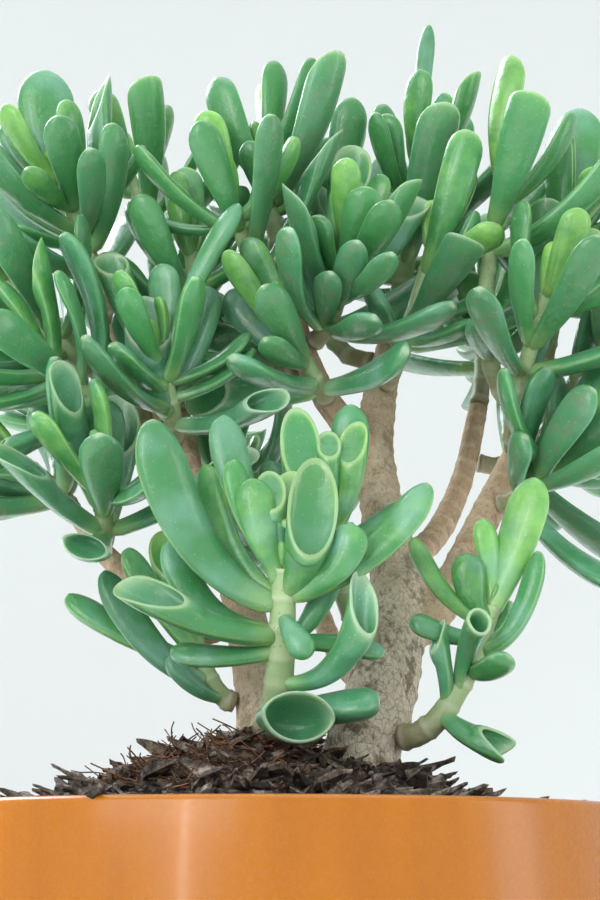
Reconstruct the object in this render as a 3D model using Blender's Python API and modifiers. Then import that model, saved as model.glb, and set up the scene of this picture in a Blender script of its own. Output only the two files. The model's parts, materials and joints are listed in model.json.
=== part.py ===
"""A potted jade plant of the finger-leaved kind, in metres, +Z up, origin at the middle of the pot's base.

Two woody trunks rise from one heap of bark compost in a round pot. Limbs leave the trunks, leafy shoots leave
the limbs, and each shoot carries crossed pairs of fleshy leaves. A leaf is either a paddle with a closed round
tip or a tube whose tip opens as a small cup. Each trunk, limb and leafy shoot is one closed solid.
"""

import math
from collections import namedtuple

import bmesh
import bpy
import numpy as np

# Pot
POT_HEIGHT = 0.130
RIM_RADIUS = 0.082
BELLY_SWELL = 0.0015
BELLY_DROP = 0.030
BASE_RADIUS = 0.060
POT_WALL = 0.003
POT_FLOOR = 0.004
FOOT_ROUNDING = 0.004
DRAIN_RADIUS = 0.004
DRAIN_CIRCLE = 0.030
DRAIN_COUNT = 4

# Compost
SOIL_DROP = 0.004
MOUND_RISE = 0.013
MOUND_RADIUS = 0.074
BARK_PIECE_LENGTH = 0.009
BARK_PIECE_COUNT = 14
BARK_WIDTH_SHARE = 0.42
BARK_THICKNESS_SHARE = 0.16
BARK_SUNK_SHARE = 0.25

# Overall spread of the plant: from the pot's axis, and up from its rim
CROWN_RADIUS = 0.090
PLANT_HEIGHT = 0.200

# Leaves and shoots
LEAF_LENGTH = 0.040
LEAF_WIDTH = 0.0104
LEAF_THICKNESS = 0.0050
STALK_SHARE = 0.46
ROOT_SHARE = 0.10
TIP_SHARE = 0.18
CUP_CHANCE = 0.3
PAIR_SPACING = 0.0062
SHOOT_RADIUS = 0.0024
TIP_RADIUS = 0.0017

# Clearances between neighbours that touch or nearly touch
TOUCH_GAP = 0.0003
SHOOT_GAP = 0.0005
LEAF_GAP = 0.0009
SOIL_GAP = 0.0006

# Facets
POT_STEPS = 32
LIMB_SIDES = 8
SHOOT_SIDES = 6
LEAF_SIDES = 5
SET_LEAF_SIDES = 6
CUP_SHARES = (0.0, ROOT_SHARE, 0.55, 1.0)
PADDLE_SHARES = (0.0, ROOT_SHARE, 0.50, 0.86)
SET_CUP_SHARES = (0.0, ROOT_SHARE, 0.35, 0.72, 1.0)
SET_PADDLE_SHARES = (0.0, ROOT_SHARE, 0.35, 0.72, 0.92)

UP = np.array((0.0, 0.0, 1.0))
Limb = namedtuple("Limb", "name parent at route radii")
Shoot = namedtuple("Shoot", "name limb at tip pairs turn girth", defaults=(1.0,))
Leaf = namedtuple("Leaf", "base bow tip face width thickness cup slant notch")

# Routes are (right, back, up) in hundredths of CROWN_RADIUS, CROWN_RADIUS and PLANT_HEIGHT, and radii are in
# millimetres. A limb leaves its parent at a share of the parent's length.
LIMBS = (
    Limb("trunk_main", None, 0,
         ((25, -7, -12), (24, -6, 5), (31, 1, 15), (35, 13, 26), (31, 28, 38), (30, 38, 48), (36, 48, 62)),
         (10.2, 9.8, 8.0, 6.6, 5.4, 4.8, 3.4)),
    Limb("trunk_left", None, 0,
         ((3, -9, -11), (-1, -9, 7), (-2, -6, 14), (-7, 2, 25), (-18, 17, 37), (-34, 28, 51), (-43, 31, 61)),
         (6.8, 6.0, 5.2, 4.6, 4.0, 3.4, 2.6)),
    Limb("limb_right", "trunk_main", 0.40,
         ((46, 12, 24), (61, 28, 37), (72, 34, 47), (77, 36, 55)),
         (5.0, 4.4, 3.6, 2.8)),
    Limb("limb_centre", "trunk_main", 0.76,
         ((17, 26, 50), (9, 27, 58), (4, 29, 68)),
         (3.8, 3.3, 2.6)),
    Limb("limb_lower_left", "trunk_left", 0.44,
         ((-17, 0, 20), (-31, 5, 25), (-43, 8, 30), (-51, 9, 35)),
         (3.4, 3.0, 2.6, 2.3)),
    Limb("limb_back_left", "trunk_left", 0.52,
         ((-11, 24, 29), (-20, 47, 40), (-26, 60, 52)),
         (3.8, 3.2, 2.6)),
    Limb("limb_back_right", "trunk_main", 0.56,
         ((46, 44, 34), (56, 58, 43), (62, 66, 54)),
         (3.8, 3.2, 2.6)),
    Limb("limb_back", "trunk_main", 0.33,
         ((24, 27, 16), (17, 48, 22), (11, 64, 32)),
         (3.4, 3.0, 2.4)),
)

# A shoot leaves its limb at a share of the limb's length, and its youngest leaves stand at tip. It carries the
# leaves listed for it below, then this many crossed pairs, the first pair turned by so many degrees. Girth is its
# thickness beside that of most shoots.
SHOOTS = (
    Shoot("shoot_front", "trunk_left", 0.24, (5, -37, 25), 0, 0, 1.5),
    Shoot("shoot_second", "trunk_main", 0.375, (15, -16, 33), 0, 0, 1.2),
    Shoot("shoot_low_right", "trunk_main", 0.25, (57, -14, 22), 0, 0, 1.2),
    Shoot("shoot_low_left", "trunk_left", 0.285, (-16, -10, 17), 0, 0),
    Shoot("shoot_left_top", "trunk_left", 0.99, (-59, 24, 79), 5, 20),
    Shoot("shoot_left_peak", "trunk_left", 0.93, (-42, 48, 84), 4, 60),
    Shoot("shoot_left_edge", "trunk_left", 0.90, (-74, 18, 66), 5, 10),
    Shoot("shoot_left_low", "trunk_left", 0.82, (-64, 4, 54), 4, 75),
    Shoot("shoot_left_cup", "trunk_left", 0.76, (-29, 4, 54), 4, 30),
    Shoot("shoot_left_inner", "trunk_left", 0.86, (-22, 30, 70), 4, 50),
    Shoot("shoot_centre_peak", "limb_centre", 0.99, (-3, 40, 86), 5, 15),
    Shoot("shoot_centre_left", "limb_centre", 0.80, (-10, 14, 74), 4, 70),
    Shoot("shoot_centre_front", "limb_centre", 0.60, (22, 12, 68), 5, 40),
    Shoot("shoot_centre_low", "limb_centre", 0.35, (6, 10, 57), 4, 5),
    Shoot("shoot_centre_back", "limb_centre", 0.55, (-12, 46, 60), 4, 25),
    Shoot("shoot_main_peak", "trunk_main", 0.99, (44, 44, 84), 5, 35),
    Shoot("shoot_main_back", "trunk_main", 0.94, (20, 70, 84), 4, 80),
    Shoot("shoot_main_front", "trunk_main", 0.88, (46, 24, 70), 5, 0),
    Shoot("shoot_right_inner", "limb_right", 0.86, (66, 24, 79), 4, 55),
    Shoot("shoot_right_peak", "limb_right", 0.99, (89, 44, 77), 5, 25),
    Shoot("shoot_right_front", "limb_right", 0.74, (76, 10, 62), 4, 85),
    Shoot("shoot_right_edge", "limb_right", 0.92, (100, 26, 60), 4, 45),
    Shoot("shoot_right_low", "limb_right", 0.56, (84, 14, 44), 4, 65),
    Shoot("shoot_mid_left_outer", "limb_lower_left", 0.99, (-68, 10, 42), 5, 30),
    Shoot("shoot_mid_left_inner", "limb_lower_left", 0.80, (-44, -6, 37), 4, 0),
    Shoot("shoot_back_left_peak", "limb_back_left", 0.99, (-33, 76, 66), 4, 10),
    Shoot("shoot_back_left_edge", "limb_back_left", 0.80, (-60, 62, 54), 4, 50),
    Shoot("shoot_back_left_inner", "limb_back_left", 0.70, (-10, 70, 47), 4, 35),
    Shoot("shoot_back_right_peak", "limb_back_right", 0.99, (64, 80, 69), 4, 20),
    Shoot("shoot_back_right_edge", "limb_back_right", 0.78, (88, 74, 52), 4, 70),
    Shoot("shoot_back_low", "limb_back", 0.99, (6, 84, 42), 4, 40),
)

# Leaves with a set place: share of the shoot's length, then reach from base to tip and the bow's place, both
# (right, back, up) in hundredths of LEAF_LENGTH, then the way the upper side looks, the width and thickness in
# hundredths of LEAF_WIDTH and LEAF_THICKNESS, then the cup's depth (0 is a paddle), its slant and its notch.
SET_LEAVES = {
    "shoot_front": (
        (0.80, (-72, -15, 100), (-53, -5, 11), (35, -80, 30), 120, 125, 0, 0, 0),
        (0.83, (-44, 32, 81), (-36, 18, 22), (60, 70, 30), 84, 95, 0, 0, 0),
        (0.66, (-61, 8, 53), (-51, 8, 1), (50, -80, 30), 84, 100, 0, 0, 0),
        (0.64, (-71, -25, 20), (-37, -15, -2), (0, -60, 80), 92, 110, 0.6, -1.5, 0.4),
        (0.56, (-60, 2, 0), (-30, -4, -6), (20, -60, 60), 66, 90, 0, 0, 0),
        (0.89, (-18, -8, 59), (-12, -10, 26), (0, -90, 20), 84, 90, 0, 0, 0),
        (0.92, (-28, 0, 68), (-22, 0, 30), (50, -80, 20), 66, 90, 0, 0, 0),
        (0.92, (-34, 18, 97), (-28, 12, 49), (30, -90, 10), 84, 95, 0, 0, 0),
        (0.97, (-7, -2, 45), (-5, -5, 22), (10, -95, 10), 60, 80, 0.4, -1.8, 0),
        (0.98, (5, 2, 41), (6, -2, 22), (0, -95, 10), 82, 85, 0.4, -1.8, 0),
        (0.86, (16, -15, 45), (13, -15, 11), (0, -95, 20), 98, 105, 0.6, -2.3, 0),
        (0.85, (37, -10, 38), (31, -10, 7), (-30, -90, 20), 92, 105, 0, 0, 0),
        (0.84, (80, 5, 64), (46, 5, 11), (-20, -80, 60), 86, 95, 0, 0, 0),
        (0.60, (30, 6, 50), (20, 2, 8), (-10, -90, 20), 58, 85, 0, 0, 0),
        (0.60, (56, 12, -4), (27, 8, 4), (0, -60, 80), 66, 85, 0, 0, 0),
        (0.38, (46, -24, 40), (36, -18, -6), (50, -85, 0), 68, 125, 0.5, -1.9, 0),
        (0.74, (14, -17, -24), (3, -16, -6), (10, -95, 10), 58, 80, 0, 0, 0),
        (0.16, (14, -46, -3), (4, -20, -6), (0, 30, 95), 146, 145, 0.3, 0.3, 0),
        (0.14, (58, -25, 8), (24, -23, 4), (0, -30, 95), 120, 145, 0, 0, 0),
    ),
    "shoot_second": (
        (0.80, (12, 5, 80), (13, 5, 30), (0, -95, 0), 86, 100, 0, 0, 0),
        (0.84, (-16, -15, 48), (-15, -15, 6), (15, -95, 10), 84, 95, 0.6, -2.2, 0),
        (0.90, (1, -12, 44), (1, -15, 12), (0, -95, 0), 50, 80, 0.6, -1.6, 0),
        (0.88, (14, -10, 47), (12, -10, 7), (-25, -90, 10), 62, 90, 0.8, -1.8, 0),
        (0.95, (-14, 15, 56), (-11, 10, 28), (0, -90, 30), 80, 95, 0, 0, 0),
        (0.78, (-36, 15, 50), (-25, 10, 17), (30, -80, 40), 80, 100, 0, 0, 0),
        (0.78, (46, 10, 23), (22, 5, 2), (-20, -80, 50), 78, 100, 0, 0, 0),
        (0.66, (-44, 20, 21), (-21, 10, 0), (30, -60, 60), 70, 95, 0, 0, 0),
    ),
    "shoot_low_right": (
        (0.34, (-6, -14, 38), (0, -10, 18), (-90, -40, 0), 40, 80, 0.5, -1.5, 0),
        (0.30, (29, -18, -19), (9, -12, -12), (20, -60, 70), 78, 90, 0.4, -0.6, 1.2),
        (0.44, (11, -32, 37), (5, -8, 26), (0, 20, 90), 52, 100, 0.6, 0, 0),
        (0.62, (20, -22, 4), (6, -10, -8), (0, 40, 90), 80, 95, 0, 0, 0),
        (0.72, (36, -5, 56), (24, -6, 0), (-60, -60, 50), 56, 95, 0, 0, 0),
        (0.80, (-40, -12, 10), (-20, -10, -1), (0, -70, 70), 62, 85, 0, 0, 0),
        (0.84, (14, 14, 18), (8, 8, 0), (-50, -70, 50), 44, 85, 0.6, 0, 0),
        (0.90, (-41, -5, 48), (-27, -12, 9), (60, -70, 30), 56, 80, 0, 0, 0),
        (0.93, (-12, -8, 36), (-12, -10, 7), (0, -90, 20), 74, 95, 0, 0, 0),
        (0.95, (29, 4, 80), (12, 4, 24), (-40, -90, 10), 98, 105, 0, 0, 0),
        (0.98, (-4, 2, 53), (3, 2, 23), (40, -80, 20), 60, 85, 0, 0, 0),
    ),
    "shoot_low_left": (
        (0.15, (-32, -15, 22), (-16, -12, 0), (40, -80, 40), 48, 80, 0, 0, 0),
        (0.50, (-62, -8, 62), (-30, -10, 2), (40, -80, 30), 80, 100, 0, 0, 0),
        (0.80, (-80, 4, 40), (-36, 2, 10), (20, -60, 70), 76, 100, 0, 0, 0),
        (0.90, (-44, -10, 62), (-22, -5, 24), (20, -50, 80), 78, 100, 0, 0, 0),
        (0.95, (-20, 6, 60), (-12, 2, 26), (10, -80, 30), 82, 100, 0.5, -1.6, 0),
    ),
    "shoot_left_top": ((0.80, (-20, 0, 94), (-16, 2, 30), (20, -90, 20), 142, 130, 0, 0, 0),),
    "shoot_left_cup": (
        (0.30, (-14, -22, 52), (-14, -14, 12), (0, -95, 10), 104, 150, 0.8, -1.3, 0),
        (0.80, (46, -9, 102), (16, -6, 60), (-40, -70, 40), 62, 90, 0, 0, 0),
    ),
    "shoot_centre_front": ((0.92, (3, -14, 46), (0, -12, 14), (0, -95, 20), 100, 105, 0, 0, 0),),
    "shoot_main_peak": ((0.90, (10, 8, 116), (2, 4, 60), (0, -95, 10), 46, 80, 0, 0, 0),),
    "shoot_right_peak": ((0.85, (10, 8, 94), (8, 4, 40), (-20, -90, 20), 126, 120, 0, 0, 0),),
    "shoot_right_low": ((0.50, (38, 2, 72), (26, 0, 20), (-60, -70, 30), 112, 110, 0, 0, 0),),
}

# What a crowded leaf tries in turn: a share of its length, degrees of tilt, and degrees round the stem.
NUDGES = tuple(
    (trim, lift, nudge)
    for trim in (1.0, 0.85, 0.7, 0.55)
    for lift in (0, 12, -14)
    for nudge in (0, 16, -16, 34, -34)
)


def unit(vector):
    return np.asarray(vector, float) / np.linalg.norm(vector)


def place(right, back, up):
    """A point of the plan in the pot's frame."""
    share = np.array((right * CROWN_RADIUS, back * CROWN_RADIUS, up * PLANT_HEIGHT)) / 100
    return share + UP * POT_HEIGHT


def eased(share):
    share = min(max(share, 0.0), 1.0)
    return share * share * (3 - 2 * share)


def smooth_line(points, spans):
    """Points along one Catmull-Rom curve through the given points, spans to each stretch."""
    points = np.asarray(points, float)
    padded = np.vstack((2 * points[0] - points[1], points, 2 * points[-1] - points[-2]))
    line = []
    for a, b, c, d in zip(padded, padded[1:], padded[2:], padded[3:]):
        for step in range(spans):
            t = step / spans
            curve = 2 * b + (c - a) * t + (2 * a - 5 * b + 4 * c - d) * t**2 + (3 * b - a - 3 * c + d) * t**3
            line.append(0.5 * curve)
    return np.array(line + [points[-1]])


def arc_line(start, bow, end, count):
    """Points along the quadratic curve from start to end that sets off towards bow."""
    share = np.linspace(0, 1, count)[:, None]
    return (1 - share) ** 2 * start + 2 * share * (1 - share) * bow + share**2 * end


def line_length(line):
    return float(np.linalg.norm(np.diff(line, axis=0), axis=1).sum())


def at_share(line, share):
    """The point and the direction at a share of a line's length."""
    steps = np.linalg.norm(np.diff(line, axis=0), axis=1)
    along = np.concatenate(((0.0,), np.cumsum(steps))) / steps.sum()
    index = min(int(np.searchsorted(along, share, side="right")) - 1, len(line) - 2)
    mix = (share - along[index]) / (along[index + 1] - along[index])
    return line[index] + mix * (line[index + 1] - line[index]), unit(line[index + 1] - line[index])


def soil_height(radius):
    """The compost's surface: a low heap round the trunks that falls to just under the rim."""
    return POT_HEIGHT - SOIL_DROP + (SOIL_DROP + MOUND_RISE) * eased(1 - radius / MOUND_RADIUS)


def spine(leaf, share):
    """The point, direction and upper side of a leaf at a share of its curved middle line."""
    point = (1 - share) ** 2 * leaf.base + 2 * share * (1 - share) * leaf.bow + share**2 * leaf.tip
    along = unit((1 - share) * (leaf.bow - leaf.base) + share * (leaf.tip - leaf.bow))
    return point, along, unit(leaf.face - along * along.dot(leaf.face))


def half_size(leaf, share):
    """Half the width and half the thickness of a leaf at a share of its length."""
    spread = STALK_SHARE + (1 - STALK_SHARE) * eased(share / 0.8)
    root = 0.4 + 0.6 * eased(share / ROOT_SHARE)
    width, thickness = root * leaf.width * spread / 2, root * leaf.thickness * (0.72 + 0.28 * spread) / 2
    if leaf.cup:
        flare = eased((share - 0.6) / 0.4)
        return width * (1 + 0.08 * flare), thickness * (1 + 0.45 * flare)
    tip = math.sqrt(max(0.0, 1 - max(0.0, (share - 1 + TIP_SHARE) / TIP_SHARE) ** 2))
    return width * tip, thickness * (0.25 + 0.75 * tip)


def leaf_ring(leaf, share, sides):
    """Points round a leaf. A cup's mouth leans back by slant and dips between its sides by notch."""
    point, along, face = spine(leaf, share)
    side = np.cross(along, face)
    width, thickness = half_size(leaf, share)
    lean = eased((share - 0.5) / 0.5) if leaf.cup else 0.0
    ring = []
    for step in range(sides):
        angle = 2 * math.pi * step / sides
        across, over = math.cos(angle), math.sin(angle)
        forward = lean * leaf.width * (leaf.slant * over + leaf.notch * (across * across - 0.5)) / 2
        ring.append(point + side * width * across + face * thickness * over + along * forward)
    return np.array(ring)


def leaf_balls(leaf):
    """Balls that fill a leaf's blade, three across at each of a few places, and those of a cup's long lip."""
    points, radii = [], []
    for share in (0.2, 0.35, 0.5, 0.65, 0.8, 0.93):
        point, along, face = spine(leaf, share)
        width, thickness = half_size(leaf, share)
        side = np.cross(along, face)
        for across in (-1, 0, 1):
            points.append(point + side * across * max(0.0, width - thickness))
            radii.append(thickness)
    for share in (0.5, 0.9) if leaf.cup else ():
        points.append(point - leaf.slant * leaf.width / 2 * share * along - face * thickness * 0.4)
        radii.append(thickness * 0.7)
    return np.array(points), np.array(radii)


class Crowd:
    """What has been placed so far, as balls that new leaves keep clear of."""

    def __init__(self):
        self.points = np.zeros((0, 3))
        self.radii = np.zeros(0)
        self.owners = np.zeros(0, int)
        self.names = []

    def add(self, name, points, radii):
        if name not in self.names:
            self.names.append(name)
        self.points = np.vstack((self.points, points))
        self.radii = np.concatenate((self.radii, radii))
        self.owners = np.concatenate((self.owners, np.full(len(radii), self.names.index(name))))

    def gap(self, points, radii, among):
        if not among.any():
            return 1.0
        apart = np.linalg.norm(points[:, None] - self.points[None, among], axis=2)
        return (apart - radii[:, None] - self.radii[None, among]).min()

    def has_room(self, name, leaf):
        """Whether a leaf clears the compost, everything of other owners, and its own shoot past its stalk."""
        points, radii = leaf_balls(leaf)
        heights = [p[2] - r - soil_height(math.hypot(p[0], p[1])) for p, r in zip(points, radii)]
        own = self.owners == self.names.index(name)
        blade = slice(len(points) // 2, None)
        return (min(heights) >= SOIL_GAP and self.gap(points, radii, ~own) >= LEAF_GAP
                and self.gap(points[blade], radii[blade], own) >= 0)


class Plan:
    """The grown plant: lines and radii of its limbs and shoots, and the leaves of each shoot."""

    def __init__(self):
        self.lines, self.radii = {}, {}
        self.leaves = {shoot.name: [] for shoot in SHOOTS}
        self.crowd = Crowd()
        for limb in LIMBS:
            self.grow_limb(limb)
        for shoot in SHOOTS:
            self.grow_stem(shoot)
        for shoot in SHOOTS:
            self.set_leaves(shoot)
        for index, shoot in enumerate(SHOOTS):
            self.grow_leaves(shoot, np.random.default_rng(index))

    def radius_at(self, name, share):
        return float(np.interp(share, np.linspace(0, 1, len(self.radii[name])), self.radii[name]))

    def block(self, name):
        """Makes a stem part of the crowd, with balls close enough together to leave no way between them."""
        shares = np.linspace(0, 1, max(3, int(line_length(self.lines[name]) / self.radii[name].min())))
        points = np.array([at_share(self.lines[name], share)[0] for share in shares])
        above = points[:, 2] > POT_HEIGHT
        radii = np.array([self.radius_at(name, share) for share in shares])
        self.crowd.add(name, points[above], radii[above])

    def grow_limb(self, limb):
        """A smooth line through the route. A side limb's line starts in the middle of its parent."""
        route = [place(*stop) for stop in limb.route]
        if limb.parent:
            start, _ = at_share(self.lines[limb.parent], limb.at)
            route.insert(0, start)
        line = smooth_line(route, 3)
        stops = np.linspace(0, 1, len(limb.radii))
        self.lines[limb.name] = line
        self.radii[limb.name] = np.interp(np.linspace(0, 1, len(line)), stops, limb.radii) / 1000
        self.block(limb.name)

    def grow_stem(self, shoot):
        """A shoot at a limb's end goes on from it; any other starts just clear of the limb's side."""
        start, heading = at_share(self.lines[shoot.limb], shoot.at)
        tip = place(*shoot.tip)
        first = SHOOT_RADIUS * shoot.girth
        if shoot.at > 0.985:
            start = self.lines[shoot.limb][-1] + heading * TOUCH_GAP
            out = heading
            first = self.radii[shoot.limb][-1] * 0.94
        else:
            out = tip - start
            out = unit(out - heading * out.dot(heading))
            start = start + out * (self.radius_at(shoot.limb, shoot.at) + SHOOT_GAP * shoot.girth**2)
        bow = start + out * 0.35 * np.linalg.norm(tip - start)
        self.lines[shoot.name] = arc_line(start, bow, tip, 7)
        self.radii[shoot.name] = np.linspace(first, TIP_RADIUS * shoot.girth, 7)
        self.block(shoot.name)

    def set_leaves(self, shoot):
        for at, reach, bow, face, width, thickness, cup, slant, notch in SET_LEAVES.get(shoot.name, ()):
            base, _ = at_share(self.lines[shoot.name], at)
            scale = LEAF_LENGTH / 100
            leaf = Leaf(base, base + np.array(bow) * scale, base + np.array(reach) * scale, unit(face),
                        LEAF_WIDTH * width / 100, LEAF_THICKNESS * thickness / 100, cup, slant, notch)
            self.crowd.add(shoot.name, *leaf_balls(leaf))
            self.leaves[shoot.name].append(leaf)

    def grow_leaves(self, shoot, chance):
        """Crossed pairs of leaves, the youngest at the tip and nearly upright, the oldest spreading."""
        line = self.lines[shoot.name]
        for pair in range(shoot.pairs):
            age = (pair + 0.6) / shoot.pairs
            base, axis = at_share(line, max(0.2, 1 - (pair + 0.25) * PAIR_SPACING / line_length(line)))
            side = unit(np.cross(axis, (0.31, -0.95, 0.12)))
            front = np.cross(axis, side)
            for half in range(2):
                bearing = shoot.turn + 90 * pair + 180 * half + chance.uniform(-14, 14)
                tilt = 14 + 52 * age + chance.uniform(-7, 7)
                length = LEAF_LENGTH * (0.50 + 0.50 * age**0.6) * chance.uniform(0.86, 1.08)
                wide = (0.66 + 0.34 * age**0.5) * chance.uniform(0.9, 1.12)
                curl = chance.uniform(0.04, 0.15)
                cup = chance.uniform(0.3, 0.7) * (chance.random() < CUP_CHANCE)
                slant, notch = -chance.uniform(0.7, 1.6), chance.uniform(0.0, 0.3)
                for trim, lift, nudge in NUDGES:
                    turned, raised = math.radians(bearing + nudge), math.radians(tilt + lift)
                    out = math.cos(turned) * side + math.sin(turned) * front
                    along = math.cos(raised) * axis + math.sin(raised) * out
                    face = math.sin(raised) * axis - math.cos(raised) * out
                    reach = length * trim
                    bow = base + (along * 0.5 - face * curl) * reach
                    leaf = Leaf(base, bow, base + (along + face * curl) * reach, face, LEAF_WIDTH * wide,
                                LEAF_THICKNESS * wide, cup, slant, notch)
                    if self.crowd.has_room(shoot.name, leaf):
                        self.crowd.add(shoot.name, *leaf_balls(leaf))
                        self.leaves[shoot.name].append(leaf)
                        break


def clear_scene():
    for obj in list(bpy.data.objects):
        bpy.data.objects.remove(obj, do_unlink=True)


def material(name, colour, roughness):
    made = bpy.data.materials.get(name) or bpy.data.materials.new(name)
    made.use_nodes = True
    shader = made.node_tree.nodes["Principled BSDF"]
    shader.inputs["Base Color"].default_value = (*colour, 1.0)
    shader.inputs["Roughness"].default_value = roughness
    return made


def new_collection(name):
    made = bpy.data.collections.new(name)
    bpy.context.scene.collection.children.link(made)
    return made


def add(name, mesh, collection, finish):
    obj = bpy.data.objects.new(name, mesh)
    collection.objects.link(obj)
    mesh.materials.clear()
    mesh.materials.append(finish)
    return obj


def add_hidden(name, mesh, collection):
    obj = bpy.data.objects.new(name, mesh)
    collection.objects.link(obj)
    obj.hide_render = True
    obj.display_type = "WIRE"
    return obj


def boolean(obj, operation, collection):
    modifier = obj.modifiers.new(operation.title(), "BOOLEAN")
    modifier.operation = operation
    modifier.operand_type = "COLLECTION"
    modifier.collection = collection
    modifier.solver = "EXACT"


def turned(obj, profile):
    """Gives an object a closed profile of (radius, height), turned round Z. It runs down the outer side."""
    mesh = obj.data
    mesh.from_pydata([(radius, 0.0, height) for radius, height in profile],
                     [(index, index + 1) for index in range(len(profile) - 1)], [])
    screw = obj.modifiers.new("Turn", "SCREW")
    screw.axis = "Z"
    screw.steps = POT_STEPS
    screw.render_steps = POT_STEPS
    screw.use_merge_vertices = True
    screw.merge_threshold = 1e-5


def loft(name, rings, end):
    """A closed mesh through rings of points, flat at its first ring and closed on one point at the last."""
    bm = bmesh.new()
    made = [[bm.verts.new(point) for point in ring] for ring in rings]
    apex = bm.verts.new(end)
    sides = len(made[0])
    for index in range(sides):
        after = (index + 1) % sides
        for first, second in zip(made, made[1:]):
            bm.faces.new((first[index], first[after], second[after], second[index]))
        bm.faces.new((made[-1][index], made[-1][after], apex))
    bm.faces.new(made[0][::-1])
    bmesh.ops.recalc_face_normals(bm, faces=bm.faces)
    mesh = bpy.data.meshes.new(name)
    bm.to_mesh(mesh)
    bm.free()
    return mesh


def leaf_mesh(name, leaf, sides, paddle_shares, cup_shares):
    if not leaf.cup:
        return loft(name, [leaf_ring(leaf, share, sides) for share in paddle_shares], spine(leaf, 1.0)[0])
    rings = [leaf_ring(leaf, share, sides) for share in cup_shares]
    middle = rings[-1].mean(axis=0)
    rings.append(middle + (rings[-1] - middle) * 0.8)
    return loft(name, rings, middle - spine(leaf, 1.0)[1] * leaf.cup * leaf.thickness)


def stem_mesh(name, line, radii, sides):
    """A tapering tube along a line: a bevelled curve made into one welded mesh."""
    curve = bpy.data.curves.new(name, "CURVE")
    curve.dimensions = "3D"
    curve.bevel_depth = 1.0
    curve.bevel_resolution = sides // 2 - 2
    curve.use_fill_caps = True
    spline = curve.splines.new("POLY")
    spline.points.add(len(line) - 1)
    for point, stop, radius in zip(spline.points, line, radii):
        point.co = (*stop, 1.0)
        point.radius = radius
    holder = bpy.data.objects.new(name, curve)
    bpy.context.scene.collection.objects.link(holder)
    graph = bpy.context.evaluated_depsgraph_get()
    mesh = bpy.data.meshes.new_from_object(holder.evaluated_get(graph))
    bpy.data.objects.remove(holder)
    bm = bmesh.new()
    bm.from_mesh(mesh)
    bmesh.ops.remove_doubles(bm, verts=bm.verts, dist=1e-6)
    bm.to_mesh(mesh)
    bm.free()
    mesh.name = name
    return mesh


def pot_radius(height):
    """The pot's outer radius: it swells to its widest a little under the rim, then draws in."""
    widest = RIM_RADIUS + BELLY_SWELL
    waist = POT_HEIGHT - BELLY_DROP
    if height > waist:
        return widest - BELLY_SWELL * ((height - waist) / BELLY_DROP) ** 2
    return widest - (widest - BASE_RADIUS) * (1 - height / waist) ** 2


WALL_HEIGHTS = tuple(POT_HEIGHT * share for share in (0.90, 0.70, 0.46, 0.24))


def pot_profile():
    lip = POT_WALL / 2
    crest = POT_HEIGHT - lip
    middle = pot_radius(crest) - lip
    corner = BASE_RADIUS - FOOT_ROUNDING
    knee = FOOT_ROUNDING * 2
    profile = [(0.0, POT_FLOOR), (corner - POT_WALL, POT_FLOOR), (pot_radius(knee) - POT_WALL, knee)]
    profile += [(pot_radius(height) - POT_WALL, height) for height in reversed(WALL_HEIGHTS)]
    for step in range(5):
        angle = math.pi * (1 - step / 4)
        profile.append((middle + lip * math.cos(angle), crest + lip * math.sin(angle)))
    profile += [(pot_radius(height), height) for height in WALL_HEIGHTS]
    profile.append((pot_radius(FOOT_ROUNDING), FOOT_ROUNDING))
    profile.append((corner + FOOT_ROUNDING * 0.7, FOOT_ROUNDING * 0.3))
    profile += [(corner, 0.0), (0.0, 0.0)]
    return profile


def build_pot(collection, finish):
    pot = add("pot", bpy.data.meshes.new("pot"), collection, finish)
    turned(pot, pot_profile())
    drains = new_collection("drain_cutters")
    for index in range(DRAIN_COUNT):
        angle = 2 * math.pi * (index + 0.5) / DRAIN_COUNT
        spot = (DRAIN_CIRCLE * math.cos(angle), DRAIN_CIRCLE * math.sin(angle), POT_FLOOR / 2)
        bpy.ops.mesh.primitive_cylinder_add(
            vertices=16, radius=DRAIN_RADIUS, depth=POT_FLOOR * 3, location=spot)
        cutter = bpy.context.object
        cutter.name = f"drain_cutter_{index + 1}"
        cutter.users_collection[0].objects.unlink(cutter)
        drains.objects.link(cutter)
        cutter.hide_render = True
        cutter.display_type = "WIRE"
    boolean(pot, "DIFFERENCE", drains)


def soil_profile():
    side = POT_WALL + TOUCH_GAP
    edge = POT_HEIGHT - SOIL_DROP
    profile = [(radius, soil_height(radius)) for radius in np.linspace(0, MOUND_RADIUS, 6)]
    profile.append((pot_radius(edge) - side, edge))
    profile += [(pot_radius(height) - side, height) for height in WALL_HEIGHTS]
    profile.append((pot_radius(FOOT_ROUNDING * 2) - side, FOOT_ROUNDING * 2 + TOUCH_GAP))
    profile += [(BASE_RADIUS - FOOT_ROUNDING - side, POT_FLOOR + TOUCH_GAP), (0.0, POT_FLOOR + TOUCH_GAP)]
    return profile


def sliver_mesh(name, angle, radius, length, lean, spin):
    """A torn piece of bark standing in the compost: a pointed wedge with its foot under the surface."""
    wide, thin = length * BARK_WIDTH_SHARE, length * BARK_THICKNESS_SHARE
    ground = soil_height(radius)
    foot = np.array((radius * math.cos(angle), radius * math.sin(angle), ground - length * BARK_SUNK_SHARE))
    along = unit((math.cos(spin) * math.sin(lean), math.sin(spin) * math.sin(lean), math.cos(lean)))
    side = unit(np.cross(along, (math.sin(angle), -math.cos(angle), 0.2)))
    front = np.cross(along, side)
    rings = []
    for share, width in ((0.0, 0.8), (0.55, 1.0), (0.9, 0.55)):
        middle = foot + along * length * share
        rings.append([middle + side * wide * width * a / 2 + front * thin * b / 2
                      for a, b in ((-1, -1), (1, -1), (1, 1), (-1, 1))])
    return loft(name, rings, foot + along * length + side * wide * 0.2)


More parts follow.
